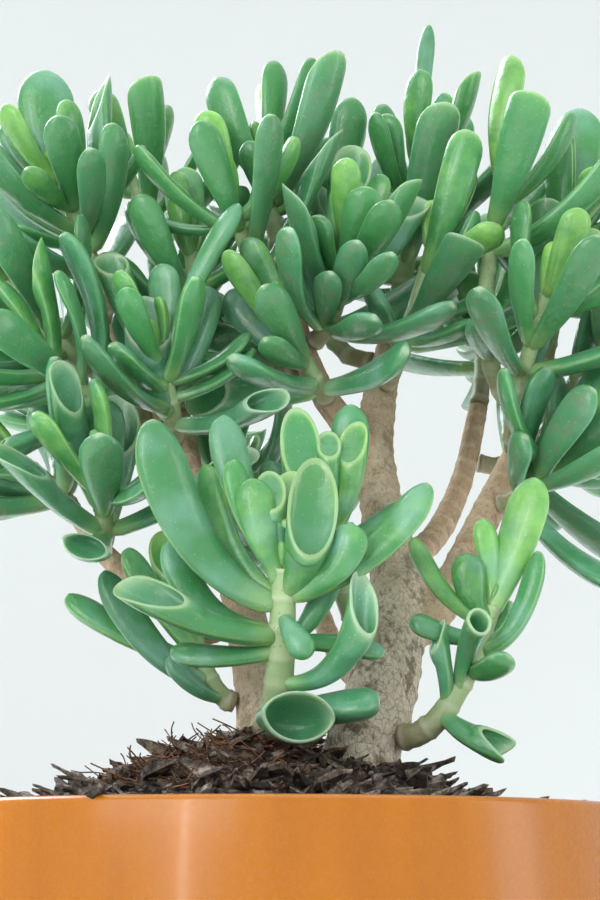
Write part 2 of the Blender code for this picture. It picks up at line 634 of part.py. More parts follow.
def build_soil(clearances, collection, finish):
    soil = add("bark_compost", bpy.data.meshes.new("bark_compost"), collection, finish)
    turned(soil, soil_profile())
    slivers = new_collection("bark_pieces")
    chance = np.random.default_rng(7)
    for index in range(BARK_PIECE_COUNT):
        angle = 2 * math.pi * (index + chance.uniform(0.1, 0.9)) / BARK_PIECE_COUNT
        radius = MOUND_RADIUS * chance.uniform(0.60, 0.92)
        length = BARK_PIECE_LENGTH * chance.uniform(0.7, 1.2)
        name = f"bark_piece_{index + 1}"
        mesh = sliver_mesh(name, angle, radius, length, chance.uniform(0.3, 1.0), chance.uniform(0, 6))
        add_hidden(name, mesh, slivers)
    boolean(soil, "UNION", slivers)
    for clearance in clearances.values():
        boolean(soil, "DIFFERENCE", clearance)


def build_clearances(plan):
    """For each trunk, a hidden copy thicker by the touching gap, which cuts what stands against it."""
    made = {}
    for limb in LIMBS:
        if limb.parent:
            continue
        line = plan.lines[limb.name].copy()
        line[0] -= unit(line[1] - line[0]) * TOUCH_GAP
        name = limb.name + "_clearance"
        made[limb.name] = new_collection(name)
        mesh = stem_mesh(name, line, plan.radii[limb.name] + TOUCH_GAP, LIMB_SIDES)
        add_hidden(name, mesh, made[limb.name])
    return made


def build_limbs(plan, clearances, collection, finish):
    for limb in LIMBS:
        mesh = stem_mesh(limb.name, plan.lines[limb.name], plan.radii[limb.name], LIMB_SIDES)
        branch = add(limb.name, mesh, collection, finish)
        if limb.parent:
            boolean(branch, "DIFFERENCE", clearances[limb.parent])


def build_shoots(plan, collection, finish):
    for shoot in SHOOTS:
        grafts = new_collection(shoot.name + "_leaves")
        facets = (LEAF_SIDES, PADDLE_SHARES, CUP_SHARES)
        if not shoot.pairs:
            facets = (SET_LEAF_SIDES, SET_PADDLE_SHARES, SET_CUP_SHARES)
        for index, leaf in enumerate(plan.leaves[shoot.name]):
            name = f"{shoot.name}_leaf_{index + 1}"
            add_hidden(name, leaf_mesh(name, leaf, *facets), grafts)
        mesh = stem_mesh(shoot.name, plan.lines[shoot.name], plan.radii[shoot.name], SHOOT_SIDES)
        boolean(add(shoot.name, mesh, collection, finish), "UNION", grafts)


def main():
    clear_scene()
    plan = Plan()
    plant = new_collection("jade_plant")
    build_pot(plant, material("orange_pot", (0.80, 0.30, 0.04), 0.2))
    clearances = build_clearances(plan)
    build_soil(clearances, plant, material("bark_compost", (0.05, 0.03, 0.02), 0.9))
    build_limbs(plan, clearances, plant, material("jade_bark", (0.45, 0.36, 0.27), 0.85))
    build_shoots(plan, plant, material("jade_leaf", (0.10, 0.28, 0.12), 0.35))


if __name__ == "__main__":
    main()
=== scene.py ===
"""Builds a potted jade plant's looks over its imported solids: leaves, bark, compost, pot and a plain stage."""

import json
import math
from collections import namedtuple

import bpy
import numpy as np
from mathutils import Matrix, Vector, noise

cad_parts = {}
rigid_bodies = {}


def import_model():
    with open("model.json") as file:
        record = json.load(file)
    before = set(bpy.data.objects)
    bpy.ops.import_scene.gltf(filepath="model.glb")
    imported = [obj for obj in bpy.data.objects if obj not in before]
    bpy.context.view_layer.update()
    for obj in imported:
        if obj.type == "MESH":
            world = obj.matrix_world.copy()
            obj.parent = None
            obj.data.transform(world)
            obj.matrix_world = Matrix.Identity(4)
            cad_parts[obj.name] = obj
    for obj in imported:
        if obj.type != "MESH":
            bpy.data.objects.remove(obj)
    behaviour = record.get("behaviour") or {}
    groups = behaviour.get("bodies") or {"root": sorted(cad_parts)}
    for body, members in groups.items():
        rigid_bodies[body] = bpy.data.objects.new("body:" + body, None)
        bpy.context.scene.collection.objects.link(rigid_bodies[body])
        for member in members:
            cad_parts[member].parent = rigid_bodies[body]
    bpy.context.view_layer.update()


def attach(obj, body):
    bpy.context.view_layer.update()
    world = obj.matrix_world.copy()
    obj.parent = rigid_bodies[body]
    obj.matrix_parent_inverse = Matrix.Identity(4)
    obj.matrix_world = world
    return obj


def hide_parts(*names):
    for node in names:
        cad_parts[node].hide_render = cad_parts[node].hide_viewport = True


bl_info = {
    "name": "Potted jade plant",
    "version": (1, 0, 0),
    "blender": (4, 5, 0),
    "location": "3D View > Sidebar > Jade plant",
    "description": "Builds a finger-leaved jade plant in bark compost in a glossy orange pot",
    "category": "Add Mesh",
}

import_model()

# The solids' own sizes, in metres
POT_HEIGHT = 0.130
RIM_RADIUS = 0.082
BELLY_SWELL = 0.0015
BELLY_DROP = 0.030
BASE_RADIUS = 0.060
POT_WALL = 0.003
POT_FLOOR = 0.004
FOOT_ROUNDING = 0.004
DRAIN_RADIUS = 0.004
DRAIN_CIRCLE = 0.030
DRAIN_COUNT = 4
SOIL_DROP = 0.004
MOUND_RISE = 0.013
MOUND_RADIUS = 0.074
CROWN_RADIUS = 0.090
PLANT_HEIGHT = 0.200
LEAF_LENGTH = 0.040
LEAF_WIDTH = 0.0104
LEAF_THICKNESS = 0.0050
STALK_SHARE = 0.46
ROOT_SHARE = 0.10
CUP_CHANCE = 0.3
TIP_SHARE = 0.18
PAIR_SPACING = 0.0062
SHOOT_RADIUS = 0.0024
TIP_RADIUS = 0.0017
TOUCH_GAP = 0.0003
SHOOT_GAP = 0.0005
LEAF_GAP = 0.0009
SOIL_GAP = 0.0006
UP = np.array((0.0, 0.0, 1.0))
GUIDE = (0.31, -0.95, 0.12)  # A direction that no stem takes, so that it gives every stem a side


def colour(code):
    """A linear RGBA colour from an sRGB hex code."""
    channels = [int(code[index:index + 2], 16) / 255 for index in (1, 3, 5)]
    return tuple(c / 12.92 if c <= 0.04045 else ((c + 0.055) / 1.055) ** 2.4 for c in channels) + (1.0,)


Limb = namedtuple("Limb", "name parent at route radii")
Shoot = namedtuple("Shoot", "name limb at tip pairs turn girth", defaults=(1.0,))
Leaf = namedtuple("Leaf", "base bow tip face width thickness cup slant notch")

# Routes are (right, back, up) in hundredths of CROWN_RADIUS, CROWN_RADIUS and PLANT_HEIGHT, and radii are in
# millimetres. A limb leaves its parent at a share of the parent's length.
LIMBS = (
    Limb("trunk_main", None, 0,
         ((25, -7, -12), (24, -6, 5), (31, 1, 15), (35, 13, 26), (31, 28, 38), (30, 38, 48), (36, 48, 62)),
         (10.2, 9.8, 8.0, 6.6, 5.4, 4.8, 3.4)),
    Limb("trunk_left", None, 0,
         ((3, -9, -11), (-1, -9, 7), (-2, -6, 14), (-7, 2, 25), (-18, 17, 37), (-34, 28, 51), (-43, 31, 61)),
         (6.8, 6.0, 5.2, 4.6, 4.0, 3.4, 2.6)),
    Limb("limb_right", "trunk_main", 0.40,
         ((46, 12, 24), (61, 28, 37), (72, 34, 47), (77, 36, 55)),
         (5.0, 4.4, 3.6, 2.8)),
    Limb("limb_centre", "trunk_main", 0.76,
         ((17, 26, 50), (9, 27, 58), (4, 29, 68)),
         (3.8, 3.3, 2.6)),
    Limb("limb_lower_left", "trunk_left", 0.44,
         ((-17, 0, 20), (-31, 5, 25), (-43, 8, 30), (-51, 9, 35)),
         (3.4, 3.0, 2.6, 2.3)),
    Limb("limb_back_left", "trunk_left", 0.52,
         ((-11, 24, 29), (-20, 47, 40), (-26, 60, 52)),
         (3.8, 3.2, 2.6)),
    Limb("limb_back_right", "trunk_main", 0.56,
         ((46, 44, 34), (56, 58, 43), (62, 66, 54)),
         (3.8, 3.2, 2.6)),
    Limb("limb_back", "trunk_main", 0.33,
         ((24, 27, 16), (17, 48, 22), (11, 64, 32)),
         (3.4, 3.0, 2.4)),
)

# A shoot leaves its limb at a share of the limb's length, and its youngest leaves stand at tip. It carries
# the leaves listed for it below, then this many crossed pairs, the first pair turned by so many degrees. Girth
# is its thickness beside that of most shoots.
SHOOTS = (
    Shoot("shoot_front", "trunk_left", 0.24, (5, -37, 25), 0, 0, 1.5),
    Shoot("shoot_second", "trunk_main", 0.375, (15, -16, 33), 0, 0, 1.2),
    Shoot("shoot_low_right", "trunk_main", 0.25, (57, -14, 22), 0, 0, 1.2),
    Shoot("shoot_low_left", "trunk_left", 0.285, (-16, -10, 17), 0, 0),
    Shoot("shoot_left_top", "trunk_left", 0.99, (-59, 24, 79), 5, 20),
    Shoot("shoot_left_peak", "trunk_left", 0.93, (-42, 48, 84), 4, 60),
    Shoot("shoot_left_edge", "trunk_left", 0.90, (-74, 18, 66), 5, 10),
    Shoot("shoot_left_low", "trunk_left", 0.82, (-64, 4, 54), 4, 75),
    Shoot("shoot_left_cup", "trunk_left", 0.76, (-29, 4, 54), 4, 30),
    Shoot("shoot_left_inner", "trunk_left", 0.86, (-22, 30, 70), 4, 50),
    Shoot("shoot_centre_peak", "limb_centre", 0.99, (-3, 40, 86), 5, 15),
    Shoot("shoot_centre_left", "limb_centre", 0.80, (-10, 14, 74), 4, 70),
    Shoot("shoot_centre_front", "limb_centre", 0.60, (22, 12, 68), 5, 40),
    Shoot("shoot_centre_low", "limb_centre", 0.35, (6, 10, 57), 4, 5),
    Shoot("shoot_centre_back", "limb_centre", 0.55, (-12, 46, 60), 4, 25),
    Shoot("shoot_main_peak", "trunk_main", 0.99, (44, 44, 84), 5, 35),
    Shoot("shoot_main_back", "trunk_main", 0.94, (20, 70, 84), 4, 80),
    Shoot("shoot_main_front", "trunk_main", 0.88, (46, 24, 70), 5, 0),
    Shoot("shoot_right_inner", "limb_right", 0.86, (66, 24, 79), 4, 55),
    Shoot("shoot_right_peak", "limb_right", 0.99, (89, 44, 77), 5, 25),
    Shoot("shoot_right_front", "limb_right", 0.74, (76, 10, 62), 4, 85),
    Shoot("shoot_right_edge", "limb_right", 0.92, (100, 26, 60), 4, 45),
    Shoot("shoot_right_low", "limb_right", 0.56, (84, 14, 44), 4, 65),
    Shoot("shoot_mid_left_outer", "limb_lower_left", 0.99, (-68, 10, 42), 5, 30),
    Shoot("shoot_mid_left_inner", "limb_lower_left", 0.80, (-44, -6, 37), 4, 0),
    Shoot("shoot_back_left_peak", "limb_back_left", 0.99, (-33, 76, 66), 4, 10),
    Shoot("shoot_back_left_edge", "limb_back_left", 0.80, (-60, 62, 54), 4, 50),
    Shoot("shoot_back_left_inner", "limb_back_left", 0.70, (-10, 70, 47), 4, 35),
    Shoot("shoot_back_right_peak", "limb_back_right", 0.99, (64, 80, 69), 4, 20),
    Shoot("shoot_back_right_edge", "limb_back_right", 0.78, (88, 74, 52), 4, 70),
    Shoot("shoot_back_low", "limb_back", 0.99, (6, 84, 42), 4, 40),
)

# Leaves with a set place: share of the shoot's length, then reach from base to tip and the bow's place, both
# (right, back, up) in hundredths of LEAF_LENGTH, then the way the upper side looks, the width and thickness
# in hundredths of LEAF_WIDTH and LEAF_THICKNESS, then the cup's depth (0 is a paddle), its slant, its notch.
SET_LEAVES = {
    "shoot_front": (
        (0.80, (-72, -15, 100), (-53, -5, 11), (35, -80, 30), 120, 125, 0, 0, 0),
        (0.83, (-44, 32, 81), (-36, 18, 22), (60, 70, 30), 84, 95, 0, 0, 0),
        (0.66, (-61, 8, 53), (-51, 8, 1), (50, -80, 30), 84, 100, 0, 0, 0),
        (0.64, (-71, -25, 20), (-37, -15, -2), (0, -60, 80), 92, 110, 0.6, -1.5, 0.4),
        (0.56, (-60, 2, 0), (-30, -4, -6), (20, -60, 60), 66, 90, 0, 0, 0),
        (0.89, (-18, -8, 59), (-12, -10, 26), (0, -90, 20), 84, 90, 0, 0, 0),
        (0.92, (-28, 0, 68), (-22, 0, 30), (50, -80, 20), 66, 90, 0, 0, 0),
        (0.92, (-34, 18, 97), (-28, 12, 49), (30, -90, 10), 84, 95, 0, 0, 0),
        (0.97, (-7, -2, 45), (-5, -5, 22), (10, -95, 10), 60, 80, 0.4, -1.8, 0),
        (0.98, (5, 2, 41), (6, -2, 22), (0, -95, 10), 82, 85, 0.4, -1.8, 0),
        (0.86, (16, -15, 45), (13, -15, 11), (0, -95, 20), 98, 105, 0.6, -2.3, 0),
        (0.85, (37, -10, 38), (31, -10, 7), (-30, -90, 20), 92, 105, 0, 0, 0),
        (0.84, (80, 5, 64), (46, 5, 11), (-20, -80, 60), 86, 95, 0, 0, 0),
        (0.60, (30, 6, 50), (20, 2, 8), (-10, -90, 20), 58, 85, 0, 0, 0),
        (0.60, (56, 12, -4), (27, 8, 4), (0, -60, 80), 66, 85, 0, 0, 0),
        (0.38, (46, -24, 40), (36, -18, -6), (50, -85, 0), 68, 125, 0.5, -1.9, 0),
        (0.74, (14, -17, -24), (3, -16, -6), (10, -95, 10), 58, 80, 0, 0, 0),
        (0.16, (14, -46, -3), (4, -20, -6), (0, 30, 95), 146, 145, 0.3, 0.3, 0),
        (0.14, (58, -25, 8), (24, -23, 4), (0, -30, 95), 120, 145, 0, 0, 0),
    ),
    "shoot_second": (
        (0.80, (12, 5, 80), (13, 5, 30), (0, -95, 0), 86, 100, 0, 0, 0),
        (0.84, (-16, -15, 48), (-15, -15, 6), (15, -95, 10), 84, 95, 0.6, -2.2, 0),
        (0.90, (1, -12, 44), (1, -15, 12), (0, -95, 0), 50, 80, 0.6, -1.6, 0),
        (0.88, (14, -10, 47), (12, -10, 7), (-25, -90, 10), 62, 90, 0.8, -1.8, 0),
        (0.95, (-14, 15, 56), (-11, 10, 28), (0, -90, 30), 80, 95, 0, 0, 0),
        (0.78, (-36, 15, 50), (-25, 10, 17), (30, -80, 40), 80, 100, 0, 0, 0),
        (0.78, (46, 10, 23), (22, 5, 2), (-20, -80, 50), 78, 100, 0, 0, 0),
        (0.66, (-44, 20, 21), (-21, 10, 0), (30, -60, 60), 70, 95, 0, 0, 0),
    ),
    "shoot_low_right": (
        (0.34, (-6, -14, 38), (0, -10, 18), (-90, -40, 0), 40, 80, 0.5, -1.5, 0),
        (0.30, (29, -18, -19), (9, -12, -12), (20, -60, 70), 78, 90, 0.4, -0.6, 1.2),
        (0.44, (11, -32, 37), (5, -8, 26), (0, 20, 90), 52, 100, 0.6, 0, 0),
        (0.62, (20, -22, 4), (6, -10, -8), (0, 40, 90), 80, 95, 0, 0, 0),
        (0.72, (36, -5, 56), (24, -6, 0), (-60, -60, 50), 56, 95, 0, 0, 0),
        (0.80, (-40, -12, 10), (-20, -10, -1), (0, -70, 70), 62, 85, 0, 0, 0),
        (0.84, (14, 14, 18), (8, 8, 0), (-50, -70, 50), 44, 85, 0.6, 0, 0),
        (0.90, (-41, -5, 48), (-27, -12, 9), (60, -70, 30), 56, 80, 0, 0, 0),
        (0.93, (-12, -8, 36), (-12, -10, 7), (0, -90, 20), 74, 95, 0, 0, 0),
        (0.95, (29, 4, 80), (12, 4, 24), (-40, -90, 10), 98, 105, 0, 0, 0),
        (0.98, (-4, 2, 53), (3, 2, 23), (40, -80, 20), 60, 85, 0, 0, 0),
    ),
    "shoot_low_left": (
        (0.15, (-32, -15, 22), (-16, -12, 0), (40, -80, 40), 48, 80, 0, 0, 0),
        (0.50, (-62, -8, 62), (-30, -10, 2), (40, -80, 30), 80, 100, 0, 0, 0),
        (0.80, (-80, 4, 40), (-36, 2, 10), (20, -60, 70), 76, 100, 0, 0, 0),
        (0.90, (-44, -10, 62), (-22, -5, 24), (20, -50, 80), 78, 100, 0, 0, 0),
        (0.95, (-20, 6, 60), (-12, 2, 26), (10, -80, 30), 82, 100, 0.5, -1.6, 0),
    ),
    "shoot_left_top": ((0.80, (-20, 0, 94), (-16, 2, 30), (20, -90, 20), 142, 130, 0, 0, 0),),
    "shoot_left_cup": (
        (0.30, (-14, -22, 52), (-14, -14, 12), (0, -95, 10), 104, 150, 0.8, -1.3, 0),
        (0.80, (46, -9, 102), (16, -6, 60), (-40, -70, 40), 62, 90, 0, 0, 0),
    ),
    "shoot_centre_front": ((0.92, (3, -14, 46), (0, -12, 14), (0, -95, 20), 100, 105, 0, 0, 0),),
    "shoot_main_peak": ((0.90, (10, 8, 116), (2, 4, 60), (0, -95, 10), 46, 80, 0, 0, 0),),
    "shoot_right_peak": ((0.85, (10, 8, 94), (8, 4, 40), (-20, -90, 20), 126, 120, 0, 0, 0),),
    "shoot_right_low": ((0.50, (38, 2, 72), (26, 0, 20), (-60, -70, 30), 112, 110, 0, 0, 0),),
}

# What a crowded leaf tries in turn: a share of its length, degrees of tilt, and degrees round the stem.
NUDGES = tuple(
    (trim, lift, nudge)
    for trim in (1.0, 0.85, 0.7, 0.55)
    for lift in (0, 12, -14)
    for nudge in (0, 16, -16, 34, -34)
)


def unit(vector):
    return np.asarray(vector, float) / np.linalg.norm(vector)


def turns(sides):
    """The angles of evenly spaced points round a ring."""
    return 2 * np.pi * np.arange(sides) / sides


def sides_of(axis):
    """Two directions square to a stem and to each other."""
    side = unit(np.cross(axis, GUIDE))
    return side, np.cross(axis, side)


def leaf_ways(axis, turned, raised):
    """A leaf's way out from its stem, the way it points and the way its upper side looks."""
    side, front = sides_of(axis)
    out = math.cos(turned) * side + math.sin(turned) * front
    along = math.cos(raised) * axis + math.sin(raised) * out
    return out, along, math.sin(raised) * axis - math.cos(raised) * out


def place(right, back, up):
    """A point of the plan in the pot's frame."""
    share = np.array((right * CROWN_RADIUS, back * CROWN_RADIUS, up * PLANT_HEIGHT)) / 100
    return share + UP * POT_HEIGHT


def eased(share):
    share = min(max(share, 0.0), 1.0)
    return share * share * (3 - 2 * share)


def smooth_line(points, spans):
    """Points along one Catmull-Rom curve through the given points, spans to each stretch."""
    points = np.asarray(points, float)
    padded = np.vstack((2 * points[0] - points[1], points, 2 * points[-1] - points[-2]))
    line = []
    for a, b, c, d in zip(padded, padded[1:], padded[2:], padded[3:]):
        for step in range(spans):
            t = step / spans
            curve = 2 * b + (c - a) * t + (2 * a - 5 * b + 4 * c - d) * t**2 + (3 * b - a - 3 * c + d) * t**3
            line.append(0.5 * curve)
    return np.array(line + [points[-1]])


def arc_line(start, bow, end, count):
    """Points along the quadratic curve from start to end that sets off towards bow."""
    share = np.linspace(0, 1, count)[:, None]
    return (1 - share) ** 2 * start + 2 * share * (1 - share) * bow + share**2 * end


def line_length(line):
    return float(np.linalg.norm(np.diff(line, axis=0), axis=1).sum())


def at_share(line, share):
    """The point and the direction at a share of a line's length."""
    steps = np.linalg.norm(np.diff(line, axis=0), axis=1)
    along = np.concatenate(((0.0,), np.cumsum(steps))) / steps.sum()
    index = min(int(np.searchsorted(along, share, side="right")) - 1, len(line) - 2)
    mix = (share - along[index]) / (along[index + 1] - along[index])
    return line[index] + mix * (line[index + 1] - line[index]), unit(line[index + 1] - line[index])


def soil_height(radius):
    """The compost's surface: a low heap round the trunks that falls to just under the rim."""
    return POT_HEIGHT - SOIL_DROP + (SOIL_DROP + MOUND_RISE) * eased(1 - radius / MOUND_RADIUS)


def spine(leaf, share):
    """The point, direction and upper side of a leaf at a share of its curved middle line."""
    point = (1 - share) ** 2 * leaf.base + 2 * share * (1 - share) * leaf.bow + share**2 * leaf.tip
    along = unit((1 - share) * (leaf.bow - leaf.base) + share * (leaf.tip - leaf.bow))
    return point, along, unit(leaf.face - along * along.dot(leaf.face))


def half_size(leaf, share):
    """Half the width and half the thickness of a leaf at a share of its length."""
    spread = STALK_SHARE + (1 - STALK_SHARE) * eased(share / 0.8)
    root = 0.4 + 0.6 * eased(share / ROOT_SHARE)
    width, thickness = root * leaf.width * spread / 2, root * leaf.thickness * (0.72 + 0.28 * spread) / 2
    if leaf.cup:
        flare = eased((share - 0.6) / 0.4)
        return width * (1 + 0.08 * flare), thickness * (1 + 0.45 * flare)
    tip = math.sqrt(max(0.0, 1 - max(0.0, (share - 1 + TIP_SHARE) / TIP_SHARE) ** 2))
    return width * tip, thickness * (0.25 + 0.75 * tip)


def leaf_balls(leaf):
    """Balls that fill a leaf's blade, three across at each of a few places, and those of a cup's long lip."""
    points, radii = [], []
    for share in (0.2, 0.35, 0.5, 0.65, 0.8, 0.93):
        point, along, face = spine(leaf, share)
        width, thickness = half_size(leaf, share)
        side = np.cross(along, face)
        for across in (-1, 0, 1):
            points.append(point + side * across * max(0.0, width - thickness))
            radii.append(thickness)
    for share in (0.5, 0.9) if leaf.cup else ():
        points.append(point - leaf.slant * leaf.width / 2 * share * along - face * thickness * 0.4)
        radii.append(thickness * 0.7)
    return np.array(points), np.array(radii)


class Crowd:
    """What has been placed so far, as balls that new leaves keep clear of."""

    def __init__(self):
        self.points = np.zeros((0, 3))
        self.radii = np.zeros(0)
        self.owners = np.zeros(0, int)
        self.names = []

    def add(self, name, points, radii):
        if name not in self.names:
            self.names.append(name)
        self.points = np.vstack((self.points, points))
        self.radii = np.concatenate((self.radii, radii))
        self.owners = np.concatenate((self.owners, np.full(len(radii), self.names.index(name))))

    def gap(self, points, radii, among):
        if not among.any():
            return 1.0
        apart = np.linalg.norm(points[:, None] - self.points[None, among], axis=2)
        return (apart - radii[:, None] - self.radii[None, among]).min()

    def has_room(self, name, leaf):
        """Whether a leaf clears the compost, everything of other owners, and its own shoot past its stalk."""
        points, radii = leaf_balls(leaf)
        heights = [p[2] - r - soil_height(math.hypot(p[0], p[1])) for p, r in zip(points, radii)]
        own = self.owners == self.names.index(name)
        blade = slice(len(points) // 2, None)
        return (min(heights) >= SOIL_GAP and self.gap(points, radii, ~own) >= LEAF_GAP
                and self.gap(points[blade], radii[blade], own) >= 0)


class Plan:
    """The grown plant: lines and radii of its limbs and shoots, and the leaves of each shoot."""

    def __init__(self):
        self.lines, self.radii = {}, {}
        self.leaves = {shoot.name: [] for shoot in SHOOTS}
        self.crowd = Crowd()
        for limb in LIMBS:
            self.grow_limb(limb)
        for shoot in SHOOTS:
            self.grow_stem(shoot)
        for shoot in SHOOTS:
            self.set_leaves(shoot)
        for index, shoot in enumerate(SHOOTS):
            self.grow_leaves(shoot, np.random.default_rng(index))

    def radius_at(self, name, share):
        return float(np.interp(share, np.linspace(0, 1, len(self.radii[name])), self.radii[name]))

    def block(self, name):
        """Makes a stem part of the crowd, with balls close enough together to leave no way between them."""
        shares = np.linspace(0, 1, max(3, int(line_length(self.lines[name]) / self.radii[name].min())))
        points = np.array([at_share(self.lines[name], share)[0] for share in shares])
        above = points[:, 2] > POT_HEIGHT
        radii = np.array([self.radius_at(name, share) for share in shares])
        self.crowd.add(name, points[above], radii[above])

    def grow_limb(self, limb):
        """A smooth line through the route. A side limb's line starts in the middle of its parent."""
        route = [place(*stop) for stop in limb.route]
        if limb.parent:
            start, _ = at_share(self.lines[limb.parent], limb.at)
            route.insert(0, start)
        line = smooth_line(route, 3)
        stops = np.linspace(0, 1, len(limb.radii))
        self.lines[limb.name] = line
        self.radii[limb.name] = np.interp(np.linspace(0, 1, len(line)), stops, limb.radii) / 1000
        self.block(limb.name)

    def grow_stem(self, shoot):
        """A shoot at a limb's end goes on from it; any other starts just clear of the limb's side."""
        start, heading = at_share(self.lines[shoot.limb], shoot.at)
        tip = place(*shoot.tip)
        first = SHOOT_RADIUS * shoot.girth
        if shoot.at > 0.985:
            start = self.lines[shoot.limb][-1] + heading * TOUCH_GAP
            out = heading
            first = self.radii[shoot.limb][-1] * 0.94
        else:
            out = tip - start
            out = unit(out - heading * out.dot(heading))
            start = start + out * (self.radius_at(shoot.limb, shoot.at) + SHOOT_GAP * shoot.girth**2)
        bow = start + out * 0.35 * np.linalg.norm(tip - start)
        self.lines[shoot.name] = arc_line(start, bow, tip, 7)
        self.radii[shoot.name] = np.linspace(first, TIP_RADIUS * shoot.girth, 7)
        self.block(shoot.name)

    def set_leaves(self, shoot):
        for at, reach, bow, face, width, thickness, cup, slant, notch in SET_LEAVES.get(shoot.name, ()):
            base, _ = at_share(self.lines[shoot.name], at)
            scale = LEAF_LENGTH / 100
            leaf = Leaf(base, base + np.array(bow) * scale, base + np.array(reach) * scale, unit(face),
                        LEAF_WIDTH * width / 100, LEAF_THICKNESS * thickness / 100, cup, slant, notch)
            self.crowd.add(shoot.name, *leaf_balls(leaf))
            self.leaves[shoot.name].append(leaf)

    def grow_leaves(self, shoot, chance):
        """Crossed pairs of leaves, the youngest at the tip and nearly upright, the oldest spreading."""
        line = self.lines[shoot.name]
        for pair in range(shoot.pairs):
            age = (pair + 0.6) / shoot.pairs
            base, axis = at_share(line, max(0.2, 1 - (pair + 0.25) * PAIR_SPACING / line_length(line)))
            for half in range(2):
                bearing = shoot.turn + 90 * pair + 180 * half + chance.uniform(-14, 14)
                tilt = 14 + 52 * age + chance.uniform(-7, 7)
                length = LEAF_LENGTH * (0.50 + 0.50 * age**0.6) * chance.uniform(0.86, 1.08)
                wide = (0.66 + 0.34 * age**0.5) * chance.uniform(0.9, 1.12)
                curl = chance.uniform(0.04, 0.15)
                cup = chance.uniform(0.3, 0.7) * (chance.random() < CUP_CHANCE)
                slant, notch = -chance.uniform(0.7, 1.6), chance.uniform(0.0, 0.3)
                for trim, lift, nudge in NUDGES:
                    turned, raised = math.radians(bearing + nudge), math.radians(tilt + lift)
                    _, along, face = leaf_ways(axis, turned, raised)
                    reach = length * trim
                    bow = base + (along * 0.5 - face * curl) * reach
                    leaf = Leaf(base, bow, base + (along + face * curl) * reach, face, LEAF_WIDTH * wide,
                                LEAF_THICKNESS * wide, cup, slant, notch)
                    if self.crowd.has_room(shoot.name, leaf):
                        self.crowd.add(shoot.name, *leaf_balls(leaf))
                        self.leaves[shoot.name].append(leaf)
                        break


# Making a mesh and a material


def node(tree, kind, inputs=None, **settings):
    """Adds a node with its settings, and sets or links its inputs by name or number."""
    made = tree.nodes.new(kind)
    for name, value in settings.items():
        setattr(made, name, value)
    for socket, value in (inputs or {}).items():
        if isinstance(value, bpy.types.NodeSocket):
            tree.links.new(value, made.inputs[socket])
        else:
            made.inputs[socket].default_value = value
    return made


# Settings that many nodes share: a change with soft ends, and a mix of colours
SMOOTH = {"interpolation_type": "SMOOTHSTEP"}
OF_COLOURS = {"data_type": "RGBA"}


def new_material(name):
    """An empty material with only an output, and its tree."""
    made = bpy.data.materials.new(name)
    made.use_nodes = True
    made.node_tree.nodes.clear()
    return made, made.node_tree


def stored(tree, name):
    """The three numbers that a vector stored on every point holds."""
    vector = node(tree, "ShaderNodeAttribute", attribute_name=name).outputs["Vector"]
    return node(tree, "ShaderNodeSeparateXYZ", {0: vector}).outputs


def set_stops(ramp, first, middle, last):
    """Gives a colour ramp three stops, each a place along it and a colour."""
    stops = ramp.color_ramp.elements
    stops[0].position, stops[0].color = first
    stops[1].position, stops[1].color = last
    stops.new(middle[0]).color = middle[1]


def mesh_piece(name, points, faces, materials, smooth=True):
    mesh = bpy.data.meshes.new(name)
    mesh.from_pydata([tuple(point) for point in points], [], faces)
    for finish in materials:
        mesh.materials.append(finish)
    if smooth:
        mesh.shade_smooth()
    piece = bpy.data.objects.new(name, mesh)
    bpy.context.scene.collection.objects.link(piece)
    return piece


def attribute(mesh, name, values):
    """Stores a vector on every point, for materials to read."""
    made = mesh.attributes.new(name, "FLOAT_VECTOR", "POINT")
    made.data.foreach_set("vector", np.asarray(values, np.float32).ravel())


def baked(piece):
    """Replaces a piece's mesh with what its modifiers make of it, and removes them."""
    made = bpy.data.meshes.new_from_object(piece.evaluated_get(bpy.context.evaluated_depsgraph_get()))
    piece.modifiers.clear()
    old, piece.data = piece.data, made
    made.name = piece.name
    bpy.data.meshes.remove(old)
    return piece


def hand_over(piece, slot, *nodes):
    """Parents a finished piece to the plant's one body and hides these solids, which it takes the place of."""
    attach(piece, "root")
    if nodes:
        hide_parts(*nodes)


def tube(rings, first_pole, last_pole):
    """Points and outward faces of a closed skin through rings of equal count, with a pole at each end."""
    count = len(rings[0])
    points = [first_pole] + [point for ring in rings for point in ring] + [last_pole]
    last = len(points) - 1
    faces = []
    for index in range(count):
        after = (index + 1) % count
        faces.append((0, 1 + after, 1 + index))
        faces.append((last, last - count + index, last - count + after))
        for row in range(len(rings) - 1):
            low = 1 + row * count
            faces.append((low + index, low + after, low + count + after, low + count + index))
    return points, faces


def round_ring(middle, radius, axis, sides):
    """Points of a circle square to an axis."""
    side, front = sides_of(axis)
    angles = turns(sides)
    return middle + radius * (np.outer(np.cos(angles), side) + np.outer(np.sin(angles), front))


def add_skin(points, faces, more_points, more_faces):
    """Adds another closed skin to a mesh's points and faces."""
    start = len(points)
    points += list(more_points)
    faces += [tuple(start + corner for corner in face) for face in more_faces]


# Leaves

LeafLife = namedtuple("LeafLife", "age chance twist")
FRONT_FINENESS = (32, 34)  # Points round a leaf and rings along it, on the shoots at the front
PLAIN_FINENESS = (20, 18)
LIP = 0.0008
FILL_TRIES = 24
CUP_BODY_END = 0.94  # Where a cup's plain rings stop, as a share of its length
CUP_NECK = 0.975  # Its last ring before the lip
BOWL_CLEARANCE = 0.1  # How far a hollow keeps from other leaves, as a share of its size
BOWL_DEPTHS = (1.6, 1.1, 0.7, 0.4, 0.15)  # Floors a cup may have, in half thicknesses, the deepest first
# Places along a leaf where its body is tested against its neighbours' hollows
BODY_SHARES = (0.2, 0.35, 0.5, 0.62, 0.74, 0.84, 0.92, 0.99)


